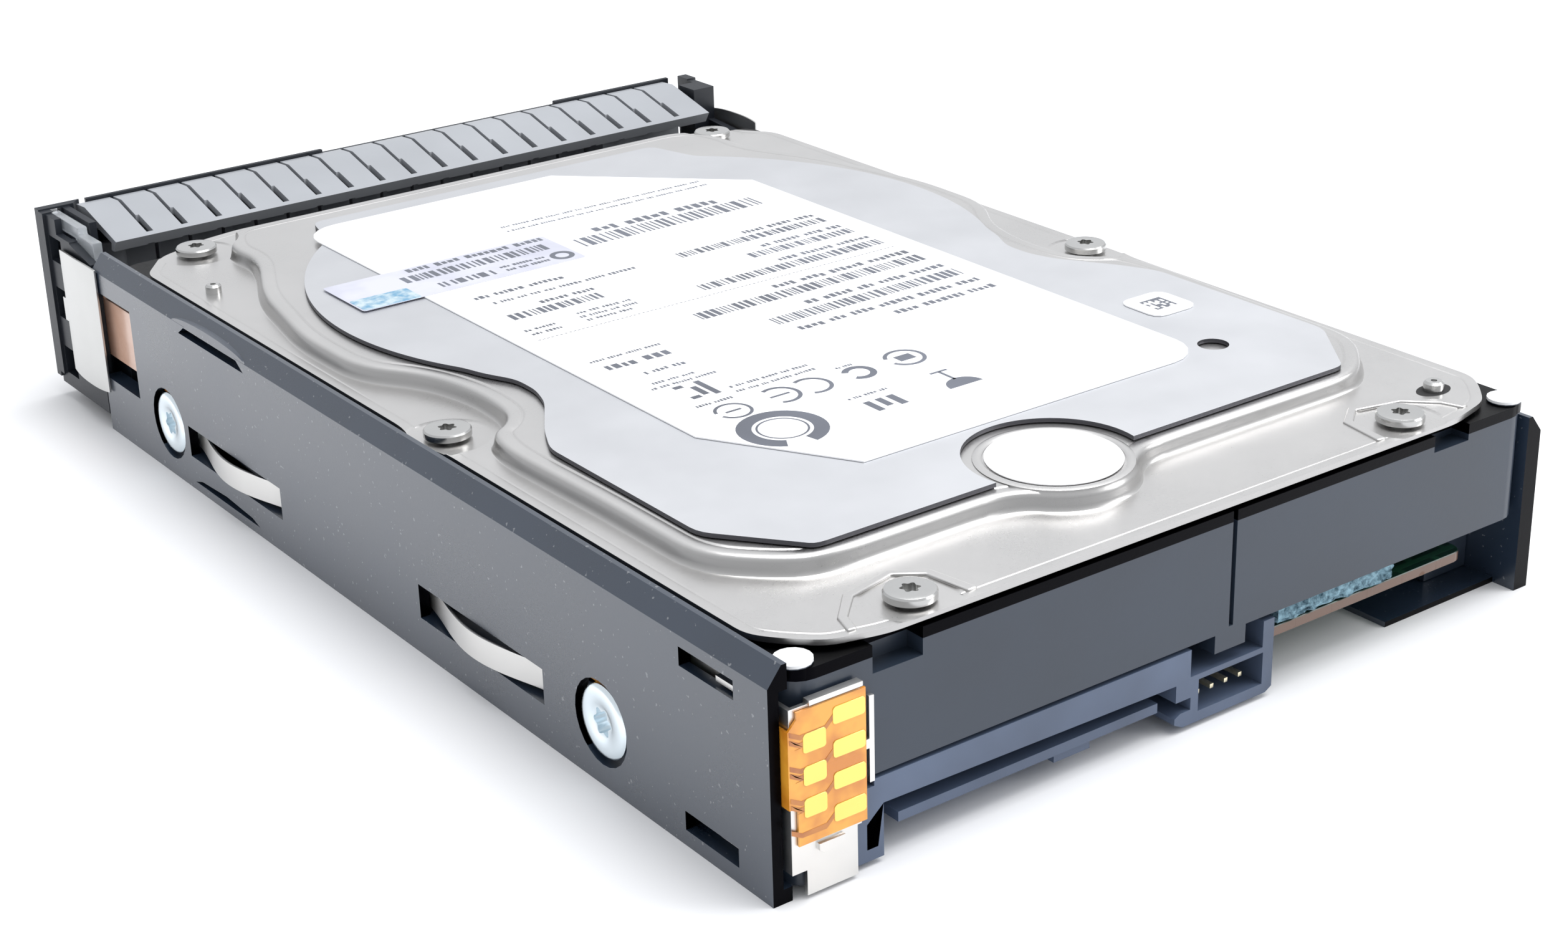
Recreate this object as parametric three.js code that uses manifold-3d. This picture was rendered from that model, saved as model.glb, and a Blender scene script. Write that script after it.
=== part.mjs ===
// A 3.5 inch hard disk drive in its hot-plug carrier, as an assembly of separate pieces.
// Units are millimetres. +Z is up, -Y is the front bezel, +Y the rear connector, +X the side
// that carries the signal flex. Pieces are laid out from the drive's own datum: the middle of
// its width, its rear face and its underside. The group at the end moves that datum so that the
// origin is the middle of the whole assembly's footprint.

import * as THREE from 'three';
import { mergeVertices } from 'three/addons/utils/BufferGeometryUtils.js';
import Module from 'manifold-3d';

const wasm = await Module();
wasm.setup();

// ---------------------------------------------------------------- driving dimensions

const GAP = 0.3; // general clearance between neighbours
const SEAT = 0.1; // clearance between faces that rest on each other
const RUN = 0.1; // radial running clearance of pins and shafts

// Disc pack
const DISC_R = 47.5;
const DISC_BORE_R = 12.5;
const DISC_T = 1.27;
const DISC_PITCH = 3.47;
const DISC_COUNT = 3;
const DISC_GAP = 1.2; // disc edge to the casting's pocket
const FRONT_WALL = 1.3;

// Base casting
const SIDE_WALL = 2.1;
const PIVOT_TO_REAR = 41.5;
const CASTING_TOP = 22.4;
const DECK_LOW = 9;
const DECK_T = 1.6;
const REAR_WALL = 7.2;
const BOARD_BAY_L = 116;

// Cover stack
const SHEET_T = 0.6;
const PLATEAU_RISE = 1.9;
const COVER_OVERHANG = 1.6; // past the casting's front edge
const DAMPER_T = 0.5;
const LABEL_T = 0.15;
const GASKET_T = 0.3;

// Actuator
const PIVOT_CLEAR = 9.74; // disc edge to the pivot's axis
const PIVOT_BEARING = 104.16; // degrees, seen from the spindle
const PIVOT_R = 3;
const HUB_R = 8;
const HEAD_PAST_DISC = 2.5; // arm length past the disc's radius
const PARK_CLEAR = 3.4; // parked heads to the disc's edge
const COIL_IN = 13.5;
const COIL_OUT = 26;
const COIL_T = 2;
const ARM_T = 1;

// Fasteners
const SIDE_SCREW_Z = 6.35;
const SIDE_SCREW_REAR = 28.5; // from the rear face
const SIDE_SCREW_FRONT = 16.9; // from the front face
const SIDE_SCREW_HEAD_R = 4;
const SIDE_SCREW_SHANK_R = 1.7;
const SIDE_SCREW_GRIP = 4.5; // thread inside the casting
const BASE_HOLE_X = 47.625;
const BASE_HOLE_REAR = 41.28;
const BASE_HOLE_PITCH = 44.45;
const COVER_SCREW_HEAD_R = 2.65;
const COVER_SCREW_HEAD_T = 1;
const COVER_SCREW_SHANK_R = 1.2;

// Carrier
const RAIL_WALL = 2.2;
const RAIL_FIT = 0.15;
const RAIL_LOW = -0.75;
const RAIL_TOP = 23.8; // on the flex side
const LEFT_RAIL_TOP = 20.4;
const RAIL_BEVEL_DROP = 2;
const RAIL_BEVEL_IN = 1.6;
const RAIL_END = 3.3; // how far the rails run past the drive's front
const FLEX_T = 0.25;
const SPRING_T = 0.35;
const BEZEL_DEPTH = 16; // behind the bezel's front plane, back to the rails
const BEZEL_LOW = 1.3;
const BEZEL_TOP = 26.3;
const CHEEK_T = 1.15;
const PLATE_T = 0.8;
const RIB_PITCH = 5.05;
const RIB_SLOT = 0.5;
const RIB_HOLE = 0.95; // where a slot widens, near the lever's rear edge
const PLATE_ENDS = [21, 36]; // length of the raised ends of the front plate's top edge
const PIN_R = 1;
const BUTTON_W = 11;
const BUTTON_H = 12;

// ---------------------------------------------------------------- sizes worked out from them

const HALF_W = DISC_R + DISC_GAP + SIDE_WALL;
const POCKET_R = DISC_R + DISC_GAP;
const PIVOT_REACH = DISC_R + PIVOT_CLEAR;
const pivotOut = polar([0, 0], PIVOT_REACH, PIVOT_BEARING);
const PIVOT = [pivotOut[0], -PIVOT_TO_REAR];
const SPINDLE = [0, -PIVOT_TO_REAR - pivotOut[1]];
const FRONT = SPINDLE[1] - POCKET_R - FRONT_WALL;
const HEAD_RADIUS = DISC_R + HEAD_PAST_DISC;
const parkCosine = (PIVOT_REACH ** 2 + HEAD_RADIUS ** 2 - (DISC_R + PARK_CLEAR) ** 2)
  / (2 * PIVOT_REACH * HEAD_RADIUS);
const PARK_ANGLE = PIVOT_BEARING - 180 + THREE.MathUtils.radToDeg(Math.acos(parkCosine));
const DECK_TOP = DECK_LOW + DECK_T;
const FLANGE_LOW = CASTING_TOP + GASKET_T + SEAT;
const FLANGE_TOP = FLANGE_LOW + SHEET_T;
const PLATEAU_TOP = FLANGE_TOP + PLATEAU_RISE;
const DAMPER_TOP = PLATEAU_TOP + SEAT + DAMPER_T;
const DISC_LOW = DECK_TOP + 2.5;
const STACK_TOP = DISC_LOW + DISC_PITCH * (DISC_COUNT - 1) + DISC_T;
const COIL_Z = DECK_TOP + 5.2;
const RAIL_IN = HALF_W + RAIL_FIT;
const RAIL_OUT = RAIL_IN + RAIL_WALL;
const RAIL_FRONT = FRONT - RAIL_END;
const BEZEL_BACK = RAIL_FRONT - GAP;
const BEZEL_FRONT = BEZEL_BACK - BEZEL_DEPTH;
const PLATE_FRONT = BEZEL_FRONT - PLATE_T;
const GROOVE_DEPTH = 1;
const FLEX_X = RAIL_IN + GROOVE_DEPTH - SEAT - FLEX_T;
const REAR_PLATE = GAP; // contact bracket's inner face, behind the drive
const BRACKET_T = 0.5;
const FLEX_REAR = REAR_PLATE + BRACKET_T + 0.05;
const PAD_T = 0.06;
const FOLD_OUT = 0.45; // the bracket's upper lip stands proud of its face
const REAR = REAR_PLATE + BRACKET_T + FOLD_OUT;
const HINGE = [HALF_W - 5.3, BEZEL_FRONT + 2.6];
const HINGE_R = 3.4;
const SWEEP_R = HINGE_R + GAP;
const PARTING_X = HINGE[0] + 1.2; // where the faceplate ends at the hinge
const LEVER_LOW = BEZEL_LOW + 2.2;

// ---------------------------------------------------------------- materials

function paint(color, roughness, metalness) {
  return new THREE.MeshStandardMaterial({ color, roughness, metalness });
}

const finishes = {
  blackCasting: paint(0x25282c, 0.5, 0.4),
  blackPlastic: paint(0x24272c, 0.45, 0.0),
  bluePlastic: paint(0x4a5568, 0.5, 0.0),
  nickelSheet: paint(0xd6d3cc, 0.3, 0.9),
  dampedSteel: paint(0xc8ced6, 0.35, 0.8),
  zinc: paint(0xc4c2bc, 0.3, 0.9),
  springSteel: paint(0xd9d8d2, 0.3, 0.9),
  railPaint: paint(0x5c6672, 0.45, 0.2),
  ribGrey: paint(0xc7ccd3, 0.4, 0.5),
  label: paint(0xf8f9fb, 0.5, 0.0),
  disc: paint(0xdfe3e8, 0.05, 1.0),
  aluminium: paint(0xb5b8bc, 0.35, 0.9),
  copper: paint(0xb8703a, 0.35, 0.9),
  polyimide: paint(0xb86a1e, 0.4, 0.1),
  board: paint(0x2f5a3c, 0.5, 0.0),
  foam: paint(0x6f9aa8, 0.9, 0.0),
  gasket: paint(0x15171a, 0.8, 0.0),
  clear: paint(0xd8dde6, 0.2, 0.0),
  filter: paint(0xf2f2ee, 0.9, 0.0),
  magnet: paint(0x9aa0a6, 0.3, 0.9),
};

// ---------------------------------------------------------------- solid helpers

function toSolid(geometry) {
  const bare = geometry.index ? geometry.toNonIndexed() : geometry.clone();
  bare.deleteAttribute('normal');
  bare.deleteAttribute('uv');
  const merged = mergeVertices(bare, 1e-5);
  return new wasm.Manifold(new wasm.Mesh({
    numProp: 3,
    vertProperties: new Float32Array(merged.attributes.position.array),
    triVerts: new Uint32Array(merged.index.array),
  }));
}

function toGeometry(solid) {
  const mesh = solid.getMesh();
  const geometry = new THREE.BufferGeometry();
  geometry.setAttribute('position', new THREE.BufferAttribute(mesh.vertProperties, 3));
  geometry.setIndex(new THREE.BufferAttribute(mesh.triVerts, 1));
  const flat = geometry.toNonIndexed();
  flat.computeVertexNormals();
  return flat;
}

function join(...solids) {
  return solids.reduce((whole, piece) => whole.add(piece));
}

function cut(solid, ...tools) {
  return tools.reduce((whole, tool) => whole.subtract(tool), solid);
}

function box(x0, x1, y0, y1, z0, z1) {
  const geometry = new THREE.BoxGeometry(x1 - x0, y1 - y0, z1 - z0);
  geometry.translate((x0 + x1) / 2, (y0 + y1) / 2, (z0 + z1) / 2);
  return toSolid(geometry);
}

// A disc or rod along 'x', 'y' or 'z', from one end to the other.
function rod(radius, [a, b], start, end, axis = 'z', sides = 32) {
  const geometry = new THREE.CylinderGeometry(radius, radius, end - start, sides);
  if (axis === 'z') {
    geometry.rotateX(Math.PI / 2);
    geometry.translate(a, b, (start + end) / 2);
  } else if (axis === 'x') {
    geometry.rotateZ(-Math.PI / 2);
    geometry.translate((start + end) / 2, a, b);
  } else {
    geometry.translate(a, (start + end) / 2, b);
  }
  return toSolid(geometry);
}

// An outline in plan (x, y), from z0 to z1.
function slab(points, z0, z1) {
  const shape = new THREE.Shape(points.map(([x, y]) => new THREE.Vector2(x, y)));
  const geometry = new THREE.ExtrudeGeometry(shape, { depth: z1 - z0, bevelEnabled: false });
  geometry.translate(0, 0, z0);
  return toSolid(geometry);
}

// An outline seen from the side (y, z), from x0 to x1.
function sideSlab(points, x0, x1) {
  const shape = new THREE.Shape(points.map(([y, z]) => new THREE.Vector2(y, z)));
  const geometry = new THREE.ExtrudeGeometry(shape, { depth: x1 - x0, bevelEnabled: false });
  geometry.rotateX(Math.PI / 2);
  geometry.rotateZ(Math.PI / 2);
  geometry.translate(x0, 0, 0);
  return toSolid(geometry);
}

// An outline seen from the rear (x, z), from y0 to y1.
function rearSlab(points, y0, y1) {
  const shape = new THREE.Shape(points.map(([x, z]) => new THREE.Vector2(x, z)));
  const geometry = new THREE.ExtrudeGeometry(shape, { depth: y1 - y0, bevelEnabled: false });
  geometry.rotateX(Math.PI / 2);
  geometry.translate(0, y1, 0);
  return toSolid(geometry);
}

function arc([cx, cy], radius, fromDeg, toDeg, steps) {
  return Array.from({ length: steps + 1 }, (_, i) => {
    const a = THREE.MathUtils.degToRad(fromDeg + ((toDeg - fromDeg) * i) / steps);
    return [cx + radius * Math.cos(a), cy + radius * Math.sin(a)];
  });
}

function fan(centre, inner, outer, fromDeg, toDeg, steps, z0, z1) {
  const rim = arc(centre, outer, fromDeg, toDeg, steps);
  const root = arc(centre, inner, toDeg, fromDeg, steps);
  return slab([...rim, ...root], z0, z1);
}

function polar([cx, cy], radius, deg) {
  const a = THREE.MathUtils.degToRad(deg);
  return [cx + radius * Math.cos(a), cy + radius * Math.sin(a)];
}

// A strip of even thickness that follows points in plan, stood on edge from z0 to z1.
function ribbon(points, thickness, z0, z1) {
  const offset = (side) => points.map(([x, y], i) => {
    const [ax, ay] = points[Math.max(i - 1, 0)];
    const [bx, by] = points[Math.min(i + 1, points.length - 1)];
    const length = Math.hypot(bx - ax, by - ay);
    const shift = (side * thickness) / 2 / length;
    return [x - (by - ay) * shift, y + (bx - ax) * shift];
  });
  return slab([...offset(-1), ...offset(1).reverse()], z0, z1);
}

function mirrorX(points) {
  return points.map(([x, y]) => [-x, y]).reverse();
}

function roundedRect(x0, x1, y0, y1, radius, steps = 5) {
  return [
    ...arc([x1 - radius, y1 - radius], radius, 0, 90, steps),
    ...arc([x0 + radius, y1 - radius], radius, 90, 180, steps),
    ...arc([x0 + radius, y0 + radius], radius, 180, 270, steps),
    ...arc([x1 - radius, y0 + radius], radius, 270, 360, steps),
  ];
}

// ---------------------------------------------------------------- the assembly

const assembly = new THREE.Group();

function addNode(name, solid, material, parent = assembly) {
  const mesh = new THREE.Mesh(toGeometry(solid), material);
  mesh.name = name;
  parent.add(mesh);
  return mesh;
}

// ---------------------------------------------------------------- base casting

const bayIn = { left: -(HALF_W - 4.8), right: HALF_W - 6.8, front: SPINDLE[1] + 35 };

// The clean bay inside the casting: a round pocket for the discs and a square one behind.
function cleanBay(grow, z0, z1) {
  const round = rod(POCKET_R + grow, SPINDLE, z0, z1, 'z', 48);
  const square = slab(roundedRect(bayIn.left - grow, bayIn.right + grow,
    bayIn.front - grow, -REAR_WALL + grow, 3 + grow), z0, z1);
  return join(round, square);
}

const coverScrewPlaces = [
  [-(HALF_W - 9.4), FRONT + 4.1], [HALF_W - 3.4, SPINDLE[1] + 30.8], [33.8, -3.8],
  [-33.8, -3.8], [-(HALF_W - 3.4), SPINDLE[1] + 29], [HALF_W - 9.4, FRONT + 4.1],
];

const boardBay = { half: HALF_W - 7, front: -BOARD_BAY_L };
const connectorNotch = { left: -12.2, right: 44.1, depth: 9 };
const latchPin = [PIVOT[0] - 24.5, PIVOT[1] - 11];

function baseCasting() {
  const body = slab(roundedRect(-HALF_W, HALF_W, FRONT, 0, 3), 0, CASTING_TOP);
  const pads = [-1, 1].map((side) => rod(1.9, [side * (HALF_W - 2), -2], CASTING_TOP - 1,
    CASTING_TOP + 0.5, 'z', 16));
  let casting = cut(join(body, ...pads),
    cleanBay(0, DECK_TOP, CASTING_TOP + 1),
    box(-boardBay.half, boardBay.half, boardBay.front, 1, -1, DECK_LOW),
    box(-(boardBay.half - 2), boardBay.half - 2, FRONT + 3, boardBay.front - 3, -1, DECK_LOW - 2.5),
    box(-HALF_W - 1, -boardBay.half + 1, -7, 1, -1, DECK_LOW),
    box(35.4, 41.3, -2.4, 1, 19.5, CASTING_TOP + 1),
    box(-40.7, -35.2, -2.4, 1, 20.5, CASTING_TOP + 1),
    box(-5.5, -4.9, -0.7, 1, DECK_LOW - 1, CASTING_TOP + 1));
  casting = join(casting,
    rod(14, SPINDLE, 5, DECK_LOW + 0.5, 'z', 32),
    box(-7.4, -3, -2.2, 0, DECK_LOW - 2.1, DECK_LOW + 0.5),
    rod(1.2, latchPin, DECK_TOP - 0.5, COIL_Z + COIL_T + 1, 'z', 16));
  const holes = coverScrewPlaces.map((place) => rod(1.5, place, CASTING_TOP - 6, CASTING_TOP + 1, 'z', 10));
  for (const side of [-1, 1]) {
    for (const y of [-SIDE_SCREW_REAR, FRONT + SIDE_SCREW_FRONT]) {
      const ends = [side * (HALF_W - SIDE_SCREW_GRIP - 1), side * (HALF_W + 1)].sort((a, b) => a - b);
      holes.push(rod(SIDE_SCREW_SHANK_R + GAP, [y, SIDE_SCREW_Z], ...ends, 'x', 12));
    }
    for (const y of [-BASE_HOLE_REAR, -BASE_HOLE_REAR - BASE_HOLE_PITCH]) {
      holes.push(rod(SIDE_SCREW_SHANK_R, [side * BASE_HOLE_X, y], -1, 4.5, 'z', 12));
    }
  }
  return cut(casting, ...holes);
}

addNode('base_casting', baseCasting(), finishes.blackCasting);
addNode('cover_gasket', cut(cleanBay(0.95, CASTING_TOP + SEAT / 2, CASTING_TOP + SEAT / 2 + GASKET_T),
  cleanBay(0.25, CASTING_TOP, CASTING_TOP + 1)), finishes.gasket);

// ---------------------------------------------------------------- cover and what lies on it

// Right half of the cover's outline, from the rear middle round to the front middle. The ear
// takes the middle screw.
const earY = SPINDLE[1] + 30;
const FLANGE_X = HALF_W - 0.8;
const coverHalf = [
  [39, -0.3], [45, -1.8], [HALF_W - 2.6, -5], [FLANGE_X, -7.6],
  [FLANGE_X, earY + 5], [HALF_W - 0.3, earY + 2.5], [HALF_W - 0.3, earY - 2.5],
  [FLANGE_X, earY - 5], [FLANGE_X, FRONT + 8], [45.5, FRONT + 2], [38.5, FRONT - 0.6],
  [33, FRONT - COVER_OVERHANG],
];

// Outlines of what is pressed into or stuck on the cover are drawn on a drive of this half
// width and length, and spread over the cover that the sizes above give.
const DRAWN_HALF = 50.8;
const DRAWN_LENGTH = 147;

function spread(points) {
  return points.map(([x, y]) => [(x * HALF_W) / DRAWN_HALF, (y * -FRONT) / DRAWN_LENGTH]);
}

const plateauHalf = spread([
  [36.2, -12.3], [41, -14.6], [46, -20.8], [46, -56], [44.6, -60.8], [41.6, -64], [40.6, -68.5],
  [41.6, -73.5], [46, -82], [47, -87], [47, -101], [44.2, -117.7], [39.2, -130.4], [39.4, -137],
  [36.4, -144],
]);
const plateauInner = spread([
  [35, -13.5], [39.8, -15.7], [44.8, -21.3], [44.8, -55.8], [43.4, -60.4], [40.3, -63.8], [39.3, -68.5],
  [40.3, -73.9], [44.8, -82.5], [45.8, -87.2], [45.8, -100.8], [43, -117.3], [37.9, -130.2],
  [38.1, -136.6], [35.4, -142.8],
]);
const plateauMiddle = [5, -10.9];

function sealedOutline(half, middle = []) {
  return [...mirrorX(half), ...middle, ...half];
}

function topCover() {
  const flange = slab(sealedOutline(coverHalf), FLANGE_LOW, FLANGE_TOP);
  const raised = slab(sealedOutline(plateauHalf, [plateauMiddle]), FLANGE_LOW, PLATEAU_TOP);
  const inside = slab(sealedOutline(plateauInner), FLANGE_LOW - 1, PLATEAU_TOP - SHEET_T);
  const holes = coverScrewPlaces.map((place) => rod(1.5, place, FLANGE_LOW - 1, FLANGE_TOP + 1, 'z', 10));
  return cut(join(flange, raised), inside, ...holes);
}

const sealPlace = [4.5, -16.5];
const SEAL_R = 7.2;
const NOTCH_R = 9.6;
const damperHalf = [
  ...spread([[37.5, -15.9], [43.7, -24], [43.7, -51], [41.6, -55.5], [37.2, -62.6], [36.1, -66.3],
    [36.1, -70.4], [38, -74.5]]),
  ...arc(SPINDLE, DISC_R - 4, 27, -48, 12),
  ...spread([[28.5, -131.5], [27, -137.5]]),
];
const damperHole = [-30.5, -28.5];

function damperPlate() {
  const sheet = slab([[-36.5, -14.6], [36, -14.6], ...damperHalf, ...mirrorX(damperHalf)],
    PLATEAU_TOP + SEAT, DAMPER_TOP);
  return cut(sheet,
    rod(NOTCH_R, sealPlace, PLATEAU_TOP, DAMPER_TOP + 1),
    rod(1.8, damperHole, PLATEAU_TOP, DAMPER_TOP + 1, 'z', 20));
}

const labelBox = { left: -28, right: 30.5, rear: -27, front: FRONT + 12.8 };
const labelOutline = [
  [21, labelBox.rear], [labelBox.right, -43.5],
  ...arc([labelBox.right - 5, labelBox.front + 5], 5, 0, -90, 5),
  [-8, labelBox.front], [labelBox.left, labelBox.front + 20.2],
  ...arc([labelBox.left + 5, labelBox.rear - 5], 5, 180, 90, 5),
];
const labelLow = DAMPER_TOP + SEAT / 2;

addNode('top_cover', topCover(), finishes.nickelSheet);
addNode('damper_plate', damperPlate(), finishes.dampedSteel);
addNode('drive_label', slab(labelOutline, labelLow, labelLow + LABEL_T), finishes.label);
addNode('round_seal', rod(SEAL_R, sealPlace, PLATEAU_TOP + SEAT, PLATEAU_TOP + SEAT + 0.2), finishes.label);
addNode('data_sticker', slab(roundedRect(-38.3, -31.6, -45.3, -38.6, 1.5, 3), labelLow, labelLow + LABEL_T),
  finishes.label);

function coverScrew() {
  const head = rod(COVER_SCREW_HEAD_R, [0, 0], 0, COVER_SCREW_HEAD_T, 'z', 16);
  const shank = rod(COVER_SCREW_SHANK_R, [0, 0], -4.5, 0.2, 'z', 8);
  return cut(join(head, shank), rod(1.1, [0, 0], 0.35, 2, 'z', 6));
}

const coverScrewSolid = coverScrew();
coverScrewPlaces.forEach(([x, y], i) => {
  const screw = addNode(`cover_screw_${i + 1}`, coverScrewSolid, finishes.zinc);
  screw.position.set(x, y, FLANGE_TOP + SEAT);
});

// ---------------------------------------------------------------- spindle and discs

const SHAFT_R = 2.5;
const SHELF_R = 15.5;
const CLAMP_R = 16;

const spindle = new THREE.Group();
spindle.position.set(SPINDLE[0], SPINDLE[1], 0);
assembly.add(spindle);

function spindleStator() {
  const flange = rod(SHELF_R - 2, [0, 0], DECK_TOP + SEAT, DECK_TOP + 0.7, 'z', 24);
  const shaft = rod(SHAFT_R, [0, 0], DECK_TOP + 0.5, STACK_TOP + 0.6, 'z', 20);
  const core = rod(6, [0, 0], DECK_TOP + 0.5, DECK_TOP + 3.8, 'z', 24);
  const teeth = Array.from({ length: 9 }, (_, i) => fan([0, 0], 5, 9, i * 40 - 13, i * 40 + 13, 1,
    DECK_TOP + 1.3, DECK_TOP + 3.4));
  return join(flange, shaft, core, ...teeth);
}

function spindleHub() {
  const shelf = rod(SHELF_R, [0, 0], DISC_LOW - 1, DISC_LOW - SEAT / 2);
  const drum = rod(DISC_BORE_R - RUN, [0, 0], DISC_LOW - 0.5, STACK_TOP - 0.2);
  return cut(join(shelf, drum),
    rod(10.2, [0, 0], DISC_LOW - 2, DECK_TOP + 5, 'z', 24),
    rod(SHAFT_R + RUN, [0, 0], DISC_LOW - 2, STACK_TOP + 1, 'z', 20));
}

function ring(outer, inner, z0, z1, sides) {
  return cut(rod(outer, [0, 0], z0, z1, 'z', sides), rod(inner, [0, 0], z0 - 1, z1 + 1));
}

addNode('spindle_stator', spindleStator(), finishes.copper, spindle);
addNode('spindle_hub', spindleHub(), finishes.aluminium, spindle);
const platterSolid = ring(DISC_R, DISC_BORE_R, 0, DISC_T, 48);
const spacerSolid = ring(DISC_BORE_R + 3.4, DISC_BORE_R, SEAT / 2, DISC_PITCH - DISC_T - SEAT / 2, 32);
for (let i = 0; i < DISC_COUNT; i += 1) {
  const platter = addNode(`platter_${i + 1}`, platterSolid, finishes.disc, spindle);
  platter.position.z = DISC_LOW + i * DISC_PITCH;
  if (i < DISC_COUNT - 1) {
    const spacer = addNode(`platter_spacer_${i + 1}`, spacerSolid, finishes.aluminium, spindle);
    spacer.position.z = DISC_LOW + i * DISC_PITCH + DISC_T;
  }
}
const clampHoles = Array.from({ length: 6 }, (_, i) => rod(0.9, polar([0, 0], 9, i * 60),
  STACK_TOP - 1, STACK_TOP + 3, 'z', 6));
addNode('disc_clamp', cut(ring(CLAMP_R, 5, STACK_TOP + SEAT / 2, STACK_TOP + 1.1, 32), ...clampHoles),
  finishes.springSteel, spindle);

// ---------------------------------------------------------------- actuator and voice coil motor

const actuator = new THREE.Group();
actuator.position.set(PIVOT[0], PIVOT[1], 0);
actuator.rotation.z = THREE.MathUtils.degToRad(PARK_ANGLE);
assembly.add(actuator);

const COIL_HALF_ANGLE = 15;
const YOKE_SIDE = 2.2; // degrees between the coil and the yoke finger
const armLevels = Array.from({ length: DISC_COUNT + 1 }, (_, i) => (
  DISC_LOW + i * DISC_PITCH - (DISC_PITCH - DISC_T) / 2 - ARM_T / 2
));

function headArm(z) {
  const arm = slab([[2, -6.4], [14, -5], [34, -2.8], [36, 0], [34, 2.8], [14, 5], [2, 6.4]], z, z + ARM_T);
  const middle = z + ARM_T / 2;
  const suspension = slab([[32, -2.2], [HEAD_RADIUS, -0.6], [HEAD_RADIUS, 0.6], [32, 2.2]],
    middle - 0.18, middle + 0.18);
  const slider = box(HEAD_RADIUS - 2.4, HEAD_RADIUS - 1.2, -0.5, 0.5, middle - 0.35, middle + 0.35);
  return cut(join(arm, suspension, slider), rod(2.4, [21, 0], z - 1, z + 3, 'z', 8));
}

function actuatorArm() {
  const hub = rod(HUB_R, [0, 0], DECK_TOP + 0.4, STACK_TOP + 1.6);
  const fingers = [-1, 1].map((side) => {
    const near = 180 + side * (COIL_HALF_ANGLE + YOKE_SIDE);
    const far = 180 + side * (COIL_HALF_ANGLE + YOKE_SIDE + 5);
    return fan([0, 0], 5, COIL_OUT + 0.5, Math.min(near, far), Math.max(near, far), 3,
      COIL_Z, COIL_Z + COIL_T);
  });
  const web = fan([0, 0], 5, COIL_IN - GAP, 180 - COIL_HALF_ANGLE - 6, 180 + COIL_HALF_ANGLE + 6, 6,
    COIL_Z, COIL_Z + COIL_T);
  return cut(join(hub, ...fingers, web, ...armLevels.map(headArm)),
    rod(PIVOT_R + RUN, [0, 0], 0, STACK_TOP + 4, 'z', 24));
}

function voiceCoil() {
  const low = COIL_Z + 0.1;
  const high = COIL_Z + COIL_T - 0.1;
  const outer = fan([0, 0], COIL_IN, COIL_OUT, 180 - COIL_HALF_ANGLE, 180 + COIL_HALF_ANGLE, 8, low, high);
  const inner = fan([0, 0], COIL_IN + 3, COIL_OUT - 3, 180 - COIL_HALF_ANGLE + 7.5,
    180 + COIL_HALF_ANGLE - 7.5, 4, low - 1, high + 1);
  return cut(outer, inner);
}

addNode('actuator_arm', actuatorArm(), finishes.aluminium, actuator);
addNode('voice_coil', voiceCoil(), finishes.copper, actuator);

const SWING = 35;
const coilMiddle = 180 + PARK_ANGLE - SWING / 2;
const magnetFrom = coilMiddle - 24;
const magnetTo = coilMiddle + 24;
const plateR = COIL_OUT + 3;
const postPlaces = [polar(PIVOT, plateR + 1.2, magnetFrom + 5), polar(PIVOT, plateR + 1.2, magnetTo - 13)];
const magnetLow = COIL_Z - 0.6;
const magnetHigh = COIL_Z + COIL_T + 0.6;
const yokeTop = STACK_TOP + 1.2;

function magnetPlate(z0, z1) {
  const plate = fan(PIVOT, HUB_R + 2.5, plateR, magnetFrom - 2, magnetTo + 2, 12, z0, z1);
  const ears = postPlaces.map((place) => rod(2.4, place, z0, z1, 'z', 16));
  return join(plate, ...ears);
}

function magnet(z0, z1) {
  return fan(PIVOT, COIL_IN, COIL_OUT, magnetFrom, magnetTo, 12, z0, z1);
}

const lowerPlate = magnetPlate(DECK_TOP + SEAT, DECK_TOP + 1.6);
const posts = postPlaces.map((place) => rod(1.4, place, DECK_TOP + 1, yokeTop - 1.5 - SEAT, 'z', 12));
addNode('lower_magnet_plate', join(lowerPlate, ...posts), finishes.springSteel);
addNode('upper_magnet_plate', magnetPlate(yokeTop - 1.5, yokeTop), finishes.springSteel);
addNode('lower_magnet', magnet(DECK_TOP + 1.6 + SEAT, magnetLow), finishes.magnet);
addNode('upper_magnet', magnet(magnetHigh, yokeTop - 1.5 - SEAT), finishes.magnet);
addNode('pivot_post', join(rod(PIVOT_R, PIVOT, DECK_TOP, PLATEAU_TOP - SHEET_T - SEAT, 'z', 24),
  rod(4.5, PIVOT, DECK_TOP + SEAT / 2, DECK_TOP + 0.3, 'z', 24)), finishes.zinc);

// ---------------------------------------------------------------- ramp, latch, filters, ribbon

function loadRamp() {
  const from = PARK_ANGLE - 1;
  const to = PARK_ANGLE + 9;
  const block = fan(PIVOT, HEAD_RADIUS + 0.8, HEAD_RADIUS + 4.4, from, to, 4, DECK_TOP + SEAT,
    STACK_TOP + 1.4);
  const foot = fan(PIVOT, HEAD_RADIUS + 0.8, HEAD_RADIUS + 4.4, to, to + 8, 4, DECK_TOP + SEAT,
    DECK_TOP + 2);
  const teeth = armLevels.slice(0, DISC_COUNT).map((z) => fan(PIVOT, HEAD_RADIUS - 2, HEAD_RADIUS + 1,
    from, to, 4, z + ARM_T / 2 + 0.9, z + DISC_PITCH + ARM_T / 2 - 0.9));
  return cut(join(block, foot, ...teeth),
    rod(DISC_R + 0.6, SPINDLE, DECK_TOP - 1, STACK_TOP + 4, 'z', 60));
}

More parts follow.
